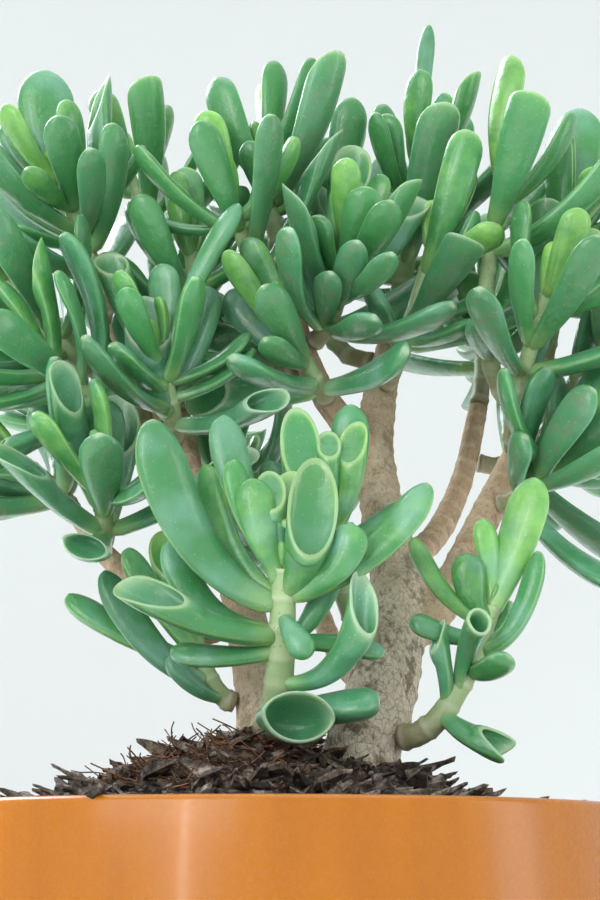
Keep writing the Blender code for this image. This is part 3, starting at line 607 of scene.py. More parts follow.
def leaf_section(leaf, share, sides, twist):
    """Points round a leaf: an oval, flatter on top, with a soft ridge along each margin. A cup's mouth leans
    back by slant and dips between its sides by notch."""
    point, along, face = spine(leaf, share)
    side = np.cross(along, face)
    turn = twist * share * share
    side, face = side * math.cos(turn) + face * math.sin(turn), face * math.cos(turn) - side * math.sin(turn)
    width, thickness = half_size(leaf, share)
    lean = eased((share - 0.5) / 0.5) if leaf.cup else 0.0
    ring = []
    for step in range(sides):
        angle = 2 * math.pi * step / sides
        across, over = math.cos(angle), math.sin(angle)
        forward = lean * leaf.width * (leaf.slant * over + leaf.notch * (across * across - 0.5)) / 2
        bulge = math.copysign(abs(over) ** 1.18, over) * (0.90 if over > 0 else 1.05)
        ring.append(point + side * width * across + face * thickness * bulge + along * forward)
    return np.array(ring)


def bowl_depth(leaf, others):
    """How far a cup's floor sinks back along its leaf, in half thicknesses, before it meets another leaf."""
    mouth = leaf_section(leaf, 1.0, 4, 0.0)
    middle = mouth.mean(axis=0)
    heading = spine(leaf, 1.0)[1]
    for depth in BOWL_DEPTHS:
        floor = -heading * half_size(leaf, 1.0)[1] * depth
        hollow = np.array((mouth[0] - middle, mouth[1] - middle, floor)).T
        held = np.linalg.solve(hollow, (others - middle).T)
        if not ((np.linalg.norm(held, axis=0) < 1 + BOWL_CLEARANCE) & (held[2] > -BOWL_CLEARANCE)).any():
            return depth
    return BOWL_DEPTHS[-1]


def leaf_skin(leaf, life, sides, rows, depth):
    """Points, faces, form (along, margin, upper) and life (age, chance, rim) of one finished leaf."""
    rings, along, rim = [], [], []
    body_end = CUP_BODY_END if leaf.cup else 1 - TIP_SHARE
    for share in np.linspace(0, body_end, rows):
        rings.append(leaf_section(leaf, share, sides, life.twist))
        along.append(share)
        rim.append(0.3 * eased((share - 0.8) / 0.2) if leaf.cup else 0.0)
    if leaf.cup:
        mouth = leaf_section(leaf, 1.0, sides, life.twist)
        middle = mouth.mean(axis=0)
        heading = spine(leaf, 1.0)[1]
        inward = middle - mouth
        reach = np.linalg.norm(inward, axis=1)
        lip = np.minimum(LIP, reach * 0.3)[:, None] / 2
        inward = inward / reach[:, None]
        rings.append(leaf_section(leaf, CUP_NECK, sides, life.twist))
        along.append(CUP_NECK)
        rim.append(0.5)
        for angle in np.radians((0, 45, 90, 135, 180)):
            rings.append(mouth + inward * lip * (1 - math.cos(angle)) + heading * lip * math.sin(angle))
            along.append(1.0)
            rim.append(1.0)
        edge = rings[-1] - middle
        sink = -heading * half_size(leaf, 1.0)[1] * depth
        # The hollow's rings: along runs on from 1 to 1.2 down into it, where the leaf material paints shade
        for angle in np.radians((10, 22, 36, 50, 64, 78)):
            rings.append(middle + edge * math.cos(angle) + sink * math.sin(angle))
            along.append(1.0 + 0.2 * math.sin(angle))
            rim.append(max(0.0, 1 - angle * 1.6))
        pole = middle + sink
    else:
        for angle in np.radians((12, 24, 36, 48, 60, 70, 79, 86)):
            share = 1 - TIP_SHARE + TIP_SHARE * math.sin(angle)
            rings.append(leaf_section(leaf, share, sides, life.twist))
            along.append(share)
            rim.append(eased((angle - 1.0) / 0.5))
        pole = spine(leaf, 1.0)[0]
    points, faces = tube(rings, leaf.base, pole)
    faces = [face[::-1] for face in faces]
    angles = turns(sides)
    margin, upper = np.abs(np.cos(angles)), 0.5 + 0.5 * np.sin(angles)
    form = [(0.0, 0.0, 0.5)]
    lived = [(life.age, life.chance, 0.0)]
    for share, lipped in zip(along, rim):
        sided = share < 1.0 or not leaf.cup
        form += [(share, m * sided, u if sided else 0.8) for m, u in zip(margin, upper)]
        lived += [(life.age, life.chance, lipped)] * sides
    form.append((along[-1], 0.0, 0.5))
    lived.append((life.age, life.chance, rim[-1]))
    return points, faces, form, lived


def young_pairs(plan, shoot):
    """The unfolding leaves in the middle of a shoot's tip, too small to be solids: a crossed pair or two."""
    line = plan.lines[shoot.name]
    base, axis = at_share(line, 0.985)
    leaves = []
    sizes = ((0.0085, 5), (0.0135, 11)) if shoot.pairs else ((0.0065, 4),)
    for pair, (length, tilt) in enumerate(sizes):
        for half in range(2):
            turned, raised = math.radians(shoot.turn + 45 + 90 * pair + 180 * half), math.radians(tilt)
            out, along, face = leaf_ways(axis, turned, raised)
            start = base + out * 0.0006
            bow = start + (along * 0.5 - face * 0.16) * length
            tip = start + along * length
            leaves.append(Leaf(start, bow, tip, face, length * 0.36, length * 0.22, 0, 0, 0))
    return leaves


def filling_leaves(plan, shoot, chance):
    """Smaller leaves between a shoot's own, wherever there is room for one."""
    line = plan.lines[shoot.name]
    leaves = []
    for _ in range(FILL_TRIES if shoot.pairs else 0):
        base, axis = at_share(line, chance.uniform(0.25, 0.95))
        turned, raised = chance.uniform(0, 2 * math.pi), math.radians(chance.uniform(25, 80))
        _, along, face = leaf_ways(axis, turned, raised)
        reach = LEAF_LENGTH * chance.uniform(0.45, 0.85)
        wide = chance.uniform(0.6, 0.95)
        bow = base + (along * 0.5 - face * 0.12) * reach
        tip = base + (along + face * 0.12) * reach
        leaf = Leaf(base, bow, tip, face, LEAF_WIDTH * wide, LEAF_THICKNESS * wide, 0, 0, 0)
        if plan.crowd.has_room(shoot.name, leaf):
            plan.crowd.add(shoot.name, *leaf_balls(leaf))
            leaves.append(leaf)
    return leaves


def shoot_stem(plan, shoot, sides, rows):
    """A green stem with a swollen ring at each pair of leaves. Its form is (along, ring, 0)."""
    line = plan.lines[shoot.name]
    length = line_length(line)
    rings, form = [], [(0.0, 0.0, 0.0)]
    for share in np.linspace(0, 1, rows):
        point, heading = at_share(line, share)
        swell = max(0.0, math.cos(2 * math.pi * (1 - share) * length / PAIR_SPACING)) ** 6
        radius = plan.radius_at(shoot.name, share) * (1 + 0.14 * swell)
        rings.append(round_ring(point, radius, heading, sides))
        form += [(share, swell, 0.0)] * sides
    form.append((1.0, 0.0, 0.0))
    points, faces = tube(rings, line[0], line[-1])
    return points, faces, form


def build_foliage(plan, shoot, materials, chance, front):
    """One mesh of a shoot's stem and all its leaves, with what their materials read stored on its points."""
    sides, rows = FRONT_FINENESS if front else PLAIN_FINENESS
    points, faces, form = shoot_stem(plan, shoot, 16, 40)
    root = plan.lines[shoot.name][0]
    lived = [(0.5, 0.5, 0.0)] * len(points)
    stem_faces = len(faces)
    leaves = plan.leaves[shoot.name] + filling_leaves(plan, shoot, chance) + young_pairs(plan, shoot)
    bodies = [np.vstack([leaf_section(leaf, share, 8, 0.0) for share in BODY_SHARES]) for leaf in leaves]
    for index, leaf in enumerate(leaves):
        size = np.linalg.norm(leaf.tip - leaf.base) / LEAF_LENGTH
        down = 1 - np.linalg.norm(leaf.base - root) / np.linalg.norm(plan.lines[shoot.name][-1] - root)
        age = min(1.0, (0.12 + 1.3 * max(0.0, down)) * (0.5 + 0.5 * size) + chance.uniform(0, 0.22))
        twist = chance.uniform(-0.35, 0.35) * (0.3 if front else 1.0)
        life = LeafLife(age, chance.uniform(0, 1), twist)
        depth = bowl_depth(leaf, np.vstack(bodies[:index] + bodies[index + 1:])) if leaf.cup else 0.0
        more_points, more_faces, more_form, more_lived = leaf_skin(leaf, life, sides, rows, depth)
        add_skin(points, faces, more_points, more_faces)
        form += more_form
        lived += more_lived
    piece = mesh_piece(shoot.name + "_foliage", points, faces, materials)
    attribute(piece.data, "leaf_form", form)
    attribute(piece.data, "leaf_life", lived)
    slots = np.zeros(len(faces), np.int32)
    slots[:stem_faces] = 1
    piece.data.polygons.foreach_set("material_index", slots)
    return piece


def leaf_material(settings):
    """Living jade leaf: a thin waxy skin over watery flesh. Light soaks in and comes back out at thin edges,
    the wax gives a broad soft gloss and a bluish bloom, and old undersides turn corky and grey. Its colour
    also holds painted light: a bluish painted sheen on upper sides, a partly painted glow along the margins
    and painted shade in cup hollows."""
    made, tree = new_material("jade_leaf_waxy_skin")
    place_at = node(tree, "ShaderNodeTexCoord").outputs["Object"]
    along, margin, upper = stored(tree, "leaf_form")
    age, chance, rim = stored(tree, "leaf_life")
    # Blotches about 7 mm across, where the flesh holds more or less green
    blotch = node(tree, "ShaderNodeTexNoise", {
        "Vector": place_at, "Scale": 1 / 0.007, "Detail": 3.0, "Roughness": 0.55}).outputs[0]
    # Age runs from the yellow-green of a leaf a few weeks old to the deep green of an old one
    shift = node(tree, "ShaderNodeMapRange", {0: blotch, 3: -0.22, 4: 0.22}).outputs[0]
    aged = node(tree, "ShaderNodeMath", {0: age, 1: shift}, operation="ADD", use_clamp=True).outputs[0]
    ramp = node(tree, "ShaderNodeValToRGB", {0: aged})
    set_stops(ramp, (0.05, settings.young), (0.36, settings.grown), (0.95, settings.old))
    # The stalk end holds little green
    stalk = node(tree, "ShaderNodeMapRange", {
        0: along, 1: 0.34, 2: 0.02, 3: 0.0, 4: 0.62}, **SMOOTH).outputs[0]
    flesh = node(tree, "ShaderNodeMix", {
        0: stalk, 6: ramp.outputs[0], 7: settings.stalk}, **OF_COLOURS).outputs[2]
    # A thin pale line where the two sides meet, clearest on young leaves: partly the margin's own colour,
    # partly painted glow of light through the thin edge
    fresh_margin_glow = node(tree, "ShaderNodeMapRange", {0: age, 1: 0.3, 2: 1.0, 3: 0.34, 4: 0.10}).outputs[0]
    edge = node(tree, "ShaderNodeMapRange", {0: margin, 1: 0.962, 2: 0.998}, **SMOOTH).outputs[0]
    line = node(tree, "ShaderNodeMath", {0: edge, 1: fresh_margin_glow}, operation="MULTIPLY").outputs[0]
    margin_glow_lined = node(tree, "ShaderNodeMix", {0: line, 6: flesh, 7: settings.margin}, **OF_COLOURS).outputs[2]
    # Old undersides go grey and corky, in patches about 3 mm across
    cork = node(tree, "ShaderNodeTexNoise", {
        "Vector": place_at, "Scale": 1 / 0.003, "Detail": 4.0, "Roughness": 0.6}).outputs[0]
    under = node(tree, "ShaderNodeMapRange", {0: upper, 1: 0.42, 2: 0.02}, **SMOOTH).outputs[0]
    patch = node(tree, "ShaderNodeMapRange", {0: cork, 1: 0.44, 2: 0.62, 3: 0.2, 4: 1.0}, **SMOOTH).outputs[0]
    old = node(tree, "ShaderNodeMapRange", {0: age, 1: 0.45, 2: 1.0, 3: 0.0, 4: 0.42}).outputs[0]
    patched = node(tree, "ShaderNodeMath", {0: under, 1: patch}, operation="MULTIPLY").outputs[0]
    corky = node(tree, "ShaderNodeMath", {0: patched, 1: old}, operation="MULTIPLY").outputs[0]
    sided = node(tree, "ShaderNodeMix", {0: corky, 6: margin_glow_lined, 7: settings.underside}, **OF_COLOURS).outputs[2]
    # The wax bloom and a painted sheen: a bluish veil on upper sides only, rubbed off in places, that stands
    # for both the bloom and the bluish sheen of light on the wax
    veil = node(tree, "ShaderNodeTexNoise", {
        "Vector": place_at, "Scale": 1 / 0.012, "Detail": 2.0}).outputs[0]
    wax = node(tree, "ShaderNodeMapRange", {0: veil, 1: 0.4, 2: 0.7, 3: 0.0, 4: 0.30}, **SMOOTH)
    bloom_and_sheen = node(tree, "ShaderNodeMath", {0: wax.outputs[0], 1: upper}, operation="MULTIPLY").outputs[0]
    bloom_and_sheen_mixed = node(tree, "ShaderNodeMix", {0: bloom_and_sheen, 6: sided, 7: settings.bloom_and_sheen}, **OF_COLOURS).outputs[2]
    # The lip of a cup is pale, yellow-green when young and dry when old, and its hollow is painted darker
    # with the old-leaf colour: painted shade in the recess
    hollow = node(tree, "ShaderNodeMapRange", {
        0: along, 1: 1.04, 2: 1.2, 3: 0.0, 4: 0.6}, **SMOOTH).outputs[0]
    hollow_shaded = node(tree, "ShaderNodeMix", {0: hollow, 6: bloom_and_sheen_mixed, 7: settings.old}, **OF_COLOURS).outputs[2]
    dried = node(tree, "ShaderNodeMix", {
        0: age, 6: settings.margin, 7: settings.lip}, **OF_COLOURS).outputs[2]
    narrowed = node(tree, "ShaderNodeMath", {0: rim, 1: 2.0}, operation="POWER").outputs[0]
    rimmed = node(tree, "ShaderNodeMath", {0: narrowed, 1: 0.42}, operation="MULTIPLY").outputs[0]
    lipped = node(tree, "ShaderNodeMix", {0: rimmed, 6: hollow_shaded, 7: dried}, **OF_COLOURS).outputs[2]
    # Pale water pores, fine dots about 1.3 mm apart
    pores = node(tree, "ShaderNodeTexVoronoi", {
        "Vector": place_at, "Scale": 1 / 0.0013}, feature="F1").outputs["Distance"]
    dot = node(tree, "ShaderNodeMapRange", {0: pores, 1: 0.15, 2: 0.07, 3: 0.0, 4: 0.24}, **SMOOTH).outputs[0]
    dotted = node(tree, "ShaderNodeMix", {0: dot, 6: lipped, 7: settings.lip}, **OF_COLOURS).outputs[2]
    # Each leaf is a little lighter or darker than the next
    light = node(tree, "ShaderNodeMapRange", {0: chance, 3: 0.86, 4: 1.16}).outputs[0]
    shaded = node(tree, "ShaderNodeHueSaturation", {"Value": light, "Color": dotted}).outputs[0]
    # Skin cells bulge in grains about 0.45 mm apart; the wax is duller where the bloom is
    grain = node(tree, "ShaderNodeTexNoise", {
        "Vector": place_at, "Scale": 1 / 0.00045, "Detail": 2.0}).outputs[0]
    ripple = node(tree, "ShaderNodeTexNoise", {
        "Vector": place_at, "Scale": 1 / 0.0035, "Detail": 2.0}).outputs[0]
    skin = node(tree, "ShaderNodeBump", {"Strength": 0.30, "Distance": 0.0003, "Height": grain}).outputs[0]
    skin = node(tree, "ShaderNodeBump", {
        "Strength": 0.5, "Distance": 0.0009, "Height": ripple, "Normal": skin}).outputs[0]
    dull = node(tree, "ShaderNodeMath", {0: bloom_and_sheen, 1: corky}, operation="ADD").outputs[0]
    rough = node(tree, "ShaderNodeMapRange", {
        0: dull, 1: 0.0, 2: 0.8, 3: settings.roughness, 4: 0.62}).outputs[0]
    shader = node(tree, "ShaderNodeBsdfPrincipled", {
        "Base Color": shaded, "Roughness": rough, "Normal": skin, "IOR": 1.42,
        "Subsurface Weight": settings.translucence, "Subsurface Radius": (0.5, 1.0, 0.25),
        "Subsurface Scale": 0.004, "Coat Weight": 0.4, "Coat Roughness": 0.16})
    node(tree, "ShaderNodeOutputMaterial", {"Surface": shader.outputs[0]})
    return made


def stem_material(settings):
    """Young jade stem: green and smooth at the tip, going tan and corky towards the wood, ringed where leaves
    grew."""
    made, tree = new_material("jade_young_stem")
    place_at = node(tree, "ShaderNodeTexCoord").outputs["Object"]
    along, ring, _ = stored(tree, "leaf_form")
    streak = node(tree, "ShaderNodeTexNoise", {
        "Vector": place_at, "Scale": 1 / 0.0025, "Detail": 4.0, "Roughness": 0.65}).outputs[0]
    sway = node(tree, "ShaderNodeMapRange", {0: streak, 3: -0.3, 4: 0.3}).outputs[0]
    shift = node(tree, "ShaderNodeMath", {0: along, 1: sway}, operation="ADD").outputs[0]
    ramp = node(tree, "ShaderNodeValToRGB", {0: shift})
    set_stops(ramp, (0.02, colour("#8C7F62")), (0.35, colour("#93A778")), (0.75, colour("#A0BA86")))
    band = node(tree, "ShaderNodeMath", {0: ring, 1: 0.35}, operation="MULTIPLY").outputs[0]
    ringed = node(tree, "ShaderNodeMix", {
        0: band, 6: ramp.outputs[0], 7: colour("#D6D8BF")}, **OF_COLOURS).outputs[2]
    speck = node(tree, "ShaderNodeTexVoronoi", {
        "Vector": place_at, "Scale": 1 / 0.0016}, feature="F1").outputs["Distance"]
    dot = node(tree, "ShaderNodeMapRange", {0: speck, 1: 0.2, 2: 0.1, 3: 0.0, 4: 0.5}).outputs[0]
    speckled = node(tree, "ShaderNodeMix", {0: dot, 6: ringed, 7: colour("#5F5A38")}, **OF_COLOURS).outputs[2]
    skin = node(tree, "ShaderNodeBump", {"Strength": 0.4, "Distance": 0.0004, "Height": streak}).outputs[0]
    shader = node(tree, "ShaderNodeBsdfPrincipled", {
        "Base Color": speckled, "Roughness": 0.5, "Normal": skin,
        "Subsurface Weight": settings.translucence * 0.5, "Subsurface Radius": (0.5, 1.0, 0.25),
        "Subsurface Scale": 0.003})
    node(tree, "ShaderNodeOutputMaterial", {"Surface": shader.outputs[0]})
    return made


# Bark

LIMB_STEP = 0.0006  # Between the places along a limb that the bark's points are measured from
BLOCK = 4000  # Points measured at once, to keep the tables small


def limb_rings(plan, limb, sides, step):
    """Rings along a limb at even steps, for the bark's first plain skin. A side limb starts in its parent."""
    line = plan.lines[limb.name]
    rings = []
    for share in np.linspace(0, 1, max(6, int(line_length(line) / step))):
        point, heading = at_share(line, share)
        rings.append(round_ring(point, plan.radius_at(limb.name, share), heading, sides))
    return rings, line[0], line[-1]


def nearest_limb(plan, points):
    """For each point, how far along its nearest limb it lies, in metres, and that limb's radius there."""
    best = np.full(len(points), 1e9)
    along, girth = np.zeros(len(points)), np.zeros(len(points))
    for limb in LIMBS:
        line = plan.lines[limb.name]
        length = line_length(line)
        shares = np.linspace(0, 1, int(length / LIMB_STEP))
        stops = np.array([at_share(line, share)[0] for share in shares])
        radii = np.interp(shares, np.linspace(0, 1, len(plan.radii[limb.name])), plan.radii[limb.name])
        for start in range(0, len(points), BLOCK):
            block = slice(start, start + BLOCK)
            gaps = np.linalg.norm(points[block, None] - stops[None], axis=2) - radii[None]
            nearest = gaps.argmin(axis=1)
            gap = gaps[np.arange(len(nearest)), nearest]
            closer = gap < best[block]
            best[block] = np.where(closer, gap, best[block])
            along[block] = np.where(closer, shares[nearest] * length, along[block])
            girth[block] = np.where(closer, radii[nearest], girth[block])
    return along, girth


def build_bark(plan, material, settings):
    """All woody limbs as one skin: joined, evened out, then ringed with old leaf scars and roughened."""
    points, faces = [], []
    for limb in LIMBS:
        rings, first, last = limb_rings(plan, limb, 24, 0.002)
        more_points, more_faces = tube(rings, first, last)
        add_skin(points, faces, more_points, more_faces)
    bark = mesh_piece("jade_bark_skin", points, faces, [material])
    remesh = bark.modifiers.new("Even out", "REMESH")
    remesh.mode = "VOXEL"
    remesh.voxel_size = settings.fineness * 1.0
    remesh.use_smooth_shade = True
    soften = bark.modifiers.new("Soften joints", "SMOOTH")
    soften.factor = 0.5
    soften.iterations = 6
    baked(bark)
    mesh = bark.data
    spots = np.zeros(len(mesh.vertices) * 3)
    mesh.vertices.foreach_get("co", spots)
    spots = spots.reshape(-1, 3)
    normals = np.zeros(len(mesh.vertices) * 3)
    mesh.vertices.foreach_get("normal", normals)
    normals = normals.reshape(-1, 3)
    along, girth = nearest_limb(plan, spots)
    moved = np.zeros(len(spots))
    scars = np.zeros(len(spots))
    for index, spot in enumerate(spots):
        where = Vector(spot)
        knob = noise.noise(where * 75.0) * 0.085
        crease = abs(noise.noise(Vector((where.x * 160, where.y * 160, where.z * 420)))) * 0.05
        wander = noise.noise(where * 60.0) * 0.0016
        spacing = settings.scar_spacing * (0.8 + 0.35 * girth[index] / 0.006)
        phase = ((along[index] + wander) / spacing) % 1.0
        scar = math.exp(-((phase - 0.5) / 0.12) ** 2)
        scars[index] = scar
        moved[index] = girth[index] * (knob - crease + 0.045 * scar)
    spots += normals * moved[:, None]
    mesh.vertices.foreach_set("co", spots.ravel())
    attribute(mesh, "bark_form", np.stack((along, np.clip(girth / 0.009, 0, 1), scars), axis=1))
    mesh.update()
    return bark


def bark_material(settings):
    """Jade bark: a thin dry cork skin, pale and finely netted with cracks on old wood, browner and smoother
    on young limbs, with a light raised ring at each old leaf scar. It is matt."""
    made, tree = new_material("jade_bark_cork")
    place_at = node(tree, "ShaderNodeTexCoord").outputs["Object"]
    _, girth, scar = stored(tree, "bark_form")
    stretched = node(tree, "ShaderNodeMapping", {0: place_at, "Scale": (1.0, 1.0, 0.62)}).outputs[0]
    # Crack net with meshes about 1.5 mm wide, pulled out of shape
    warp = node(tree, "ShaderNodeTexNoise", {
        "Vector": stretched, "Scale": 1 / 0.0024, "Detail": 3.0}).outputs["Color"]
    pull = node(tree, "ShaderNodeVectorMath", {0: warp, "Scale": 0.0016}, operation="SCALE").outputs[0]
    bent = node(tree, "ShaderNodeVectorMath", {0: pull, 1: stretched}, operation="ADD").outputs[0]
    net = node(tree, "ShaderNodeTexVoronoi", {
        "Vector": bent, "Scale": 1 / 0.0015, "Randomness": 1.0}, feature="DISTANCE_TO_EDGE").outputs["Distance"]
    crack = node(tree, "ShaderNodeMapRange", {0: net, 1: 0.10, 2: 0.0}, **SMOOTH).outputs[0]
    patch = node(tree, "ShaderNodeTexNoise", {
        "Vector": place_at, "Scale": 1 / 0.008, "Detail": 5.0, "Roughness": 0.65}).outputs[0]
    fine = node(tree, "ShaderNodeTexNoise", {
        "Vector": stretched, "Scale": 1 / 0.0008, "Detail": 4.0, "Roughness": 0.7}).outputs[0]
    shift = node(tree, "ShaderNodeMapRange", {0: patch, 3: -0.42, 4: 0.42}).outputs[0]
    aged = node(tree, "ShaderNodeMath", {0: girth, 1: shift}, operation="ADD", use_clamp=True).outputs[0]
    ramp = node(tree, "ShaderNodeValToRGB", {0: aged})
    set_stops(ramp, (0.10, settings.young_bark), (0.5, settings.mid_bark), (0.92, settings.old_bark))
    # Weathered patches about 5 mm across, where the pale skin has flaked to darker wood
    flake = node(tree, "ShaderNodeTexNoise", {
        "Vector": stretched, "Scale": 1 / 0.005, "Detail": 6.0, "Roughness": 0.72}).outputs[0]
    flaked = node(tree, "ShaderNodeMapRange", {0: flake, 1: 0.50, 2: 0.60}, **SMOOTH).outputs[0]
    thick = node(tree, "ShaderNodeMapRange", {0: girth, 1: 0.3, 2: 0.9, 3: 0.25, 4: 0.8}).outputs[0]
    bare = node(tree, "ShaderNodeMath", {0: flaked, 1: thick}, operation="MULTIPLY").outputs[0]
    band = node(tree, "ShaderNodeMath", {0: scar, 1: 0.45}, operation="MULTIPLY").outputs[0]
    ringed = node(tree, "ShaderNodeMix", {
        0: band, 6: ramp.outputs[0], 7: colour("#D8C9AE")}, **OF_COLOURS).outputs[2]
    fleck = node(tree, "ShaderNodeMapRange", {0: fine, 1: 0.52, 2: 0.72, 3: 0.0, 4: 0.6}).outputs[0]
    flecked = node(tree, "ShaderNodeMix", {
        0: fleck, 6: ringed, 7: colour("#6E5740")}, **OF_COLOURS).outputs[2]
    flecked = node(tree, "ShaderNodeMix", {
        0: bare, 6: flecked, 7: colour("#6F624E")}, **OF_COLOURS).outputs[2]
    depth = node(tree, "ShaderNodeMapRange", {0: girth, 1: 0.45, 2: 0.9, 3: 0.05, 4: 0.34}).outputs[0]
    weight = node(tree, "ShaderNodeMath", {0: crack, 1: depth}, operation="MULTIPLY").outputs[0]
    cracked = node(tree, "ShaderNodeMix", {
        0: weight, 6: flecked, 7: colour("#6A5540")}, **OF_COLOURS).outputs[2]
    relief = node(tree, "ShaderNodeMath", {0: fine, 1: weight}, operation="SUBTRACT").outputs[0]
    skin = node(tree, "ShaderNodeBump", {"Strength": 0.8, "Distance": 0.0006, "Height": relief}).outputs[0]
    shader = node(tree, "ShaderNodeBsdfPrincipled", {
        "Base Color": cracked, "Roughness": 0.82, "Normal": skin, "Specular IOR Level": 0.3})
    node(tree, "ShaderNodeOutputMaterial", {"Surface": shader.outputs[0]})
    return made


# Compost

ON_COIR, ON_GROUND = 0, 1  # Which part of ground_form a scatter follows
STRAND_THICKNESS = 0.00034


def coir_share(x, y):
    """1 in the middle of the lump of coir beside the left trunk, falling to 0 round it."""
    return eased(1.25 - math.hypot((x + 0.012) / 0.026, (y + 0.024) / 0.022))


def ground_height(x, y):
    """The compost's real, lumpy surface."""
    where = Vector((x, y, 0.0))
    lumps = noise.noise(where * 95.0) * 0.0017 + noise.noise(where * 260.0) * 0.0009
    radius = math.hypot(x, y)
    edge = eased((pot_radius(POT_HEIGHT - SOIL_DROP) - POT_WALL - radius) / 0.006)
    return soil_height(radius) + lumps * (0.35 + 0.65 * edge) + 0.0035 * coir_share(x, y)


def build_ground(material):
    """The compost's body: a lumpy top, then down the pot's wall and across its floor."""
    sides = 160
    reach = pot_radius(POT_HEIGHT - SOIL_DROP) - POT_WALL - TOUCH_GAP
    angles = turns(sides)
    rings = []
    heights = (POT_FLOOR + TOUCH_GAP, 0.012, 0.03, 0.055, 0.085, 0.110)
    for height in heights:
        radius = pot_radius(height) - POT_WALL - TOUCH_GAP
        if not rings:
            radius = BASE_RADIUS - FOOT_ROUNDING - POT_WALL - TOUCH_GAP
        rings.append([(radius * math.cos(a), radius * math.sin(a), height) for a in angles])
    for radius in reach * np.sqrt(np.linspace(1, 0.0006, 70)):
        flat = [(radius * math.cos(a), radius * math.sin(a)) for a in angles]
        rings.append([(x, y, ground_height(x, y)) for x, y in flat])
    points, faces = tube(rings, (0, 0, POT_FLOOR + TOUCH_GAP), (0, 0, ground_height(0, 0)))
    ground = mesh_piece("compost_ground", points, faces, [material])
    open_air = 1 + (len(heights) + 1) * sides  # The first point inside the ring against the wall
    form = []
    for index, (x, y, _) in enumerate(points):
        strewn = eased((reach - 0.0035 - math.hypot(x, y)) / 0.004) if index >= open_air else 0.0
        form.append((strewn * coir_share(x, y), strewn * (1 - 0.7 * coir_share(x, y)), 0.0))
    attribute(ground.data, "ground_form", form)
    return ground


def splinter(name, chance, long, wide, thick):
    """A torn sliver of bark: a split slab with frayed ends, lying along X with its foot at the origin."""
    rings = []
    bend = chance.uniform(-0.12, 0.12)
    for share in (0.0, 0.12, 0.34, 0.6, 0.84, 1.0):
        full = (0.45 + 0.55 * math.sin(math.pi * min(1.0, share + 0.12))) * chance.uniform(0.78, 1.15)
        lift = chance.uniform(-0.1, 0.1) * thick
        middle = np.array((long * share, long * bend * math.sin(math.pi * share), lift))
        ring = []
        for a, b in ((1, -1), (1, 0.7), (0, 1.1), (-1, 0.8), (-1, -1)):
            fray = chance.uniform(-0.05, 0.05) * long
            ring.append(middle + np.array((fray, a * wide * full / 2, b * thick * full / 2)))
        rings.append(ring)
    foot, head = np.array((long * 0.05, 0, 0)), np.array((long * 0.1, 0, 0))
    points, faces = tube(rings, rings[0][2] - foot, rings[-1][1] + head)
    return mesh_piece(name, points, faces, [], smooth=False)


def fibre(name, chance, long, thick):
    """A curled strand of coir, round in section."""
    stops = np.linspace(0, 1, 7)
    sway = chance.uniform(-1, 1, (2, 3))
    rings = []
    for share in stops:
        middle = np.array((long * share, 0.0, 0.0))
        middle[1] += long * 0.28 * math.sin(share * 3.1 * sway[0][0] + sway[0][1])
        middle[2] += long * 0.30 * math.sin(share * 2.6 * sway[1][0]) * share
        ring = []
        for angle in np.radians((0, 120, 240)):
            ring.append(middle + np.array((0, math.cos(angle), math.sin(angle))) * thick / 2)
        rings.append(ring)
    points, faces = tube(rings, rings[0][0], rings[-1][0])
    return mesh_piece(name, points, faces, [])


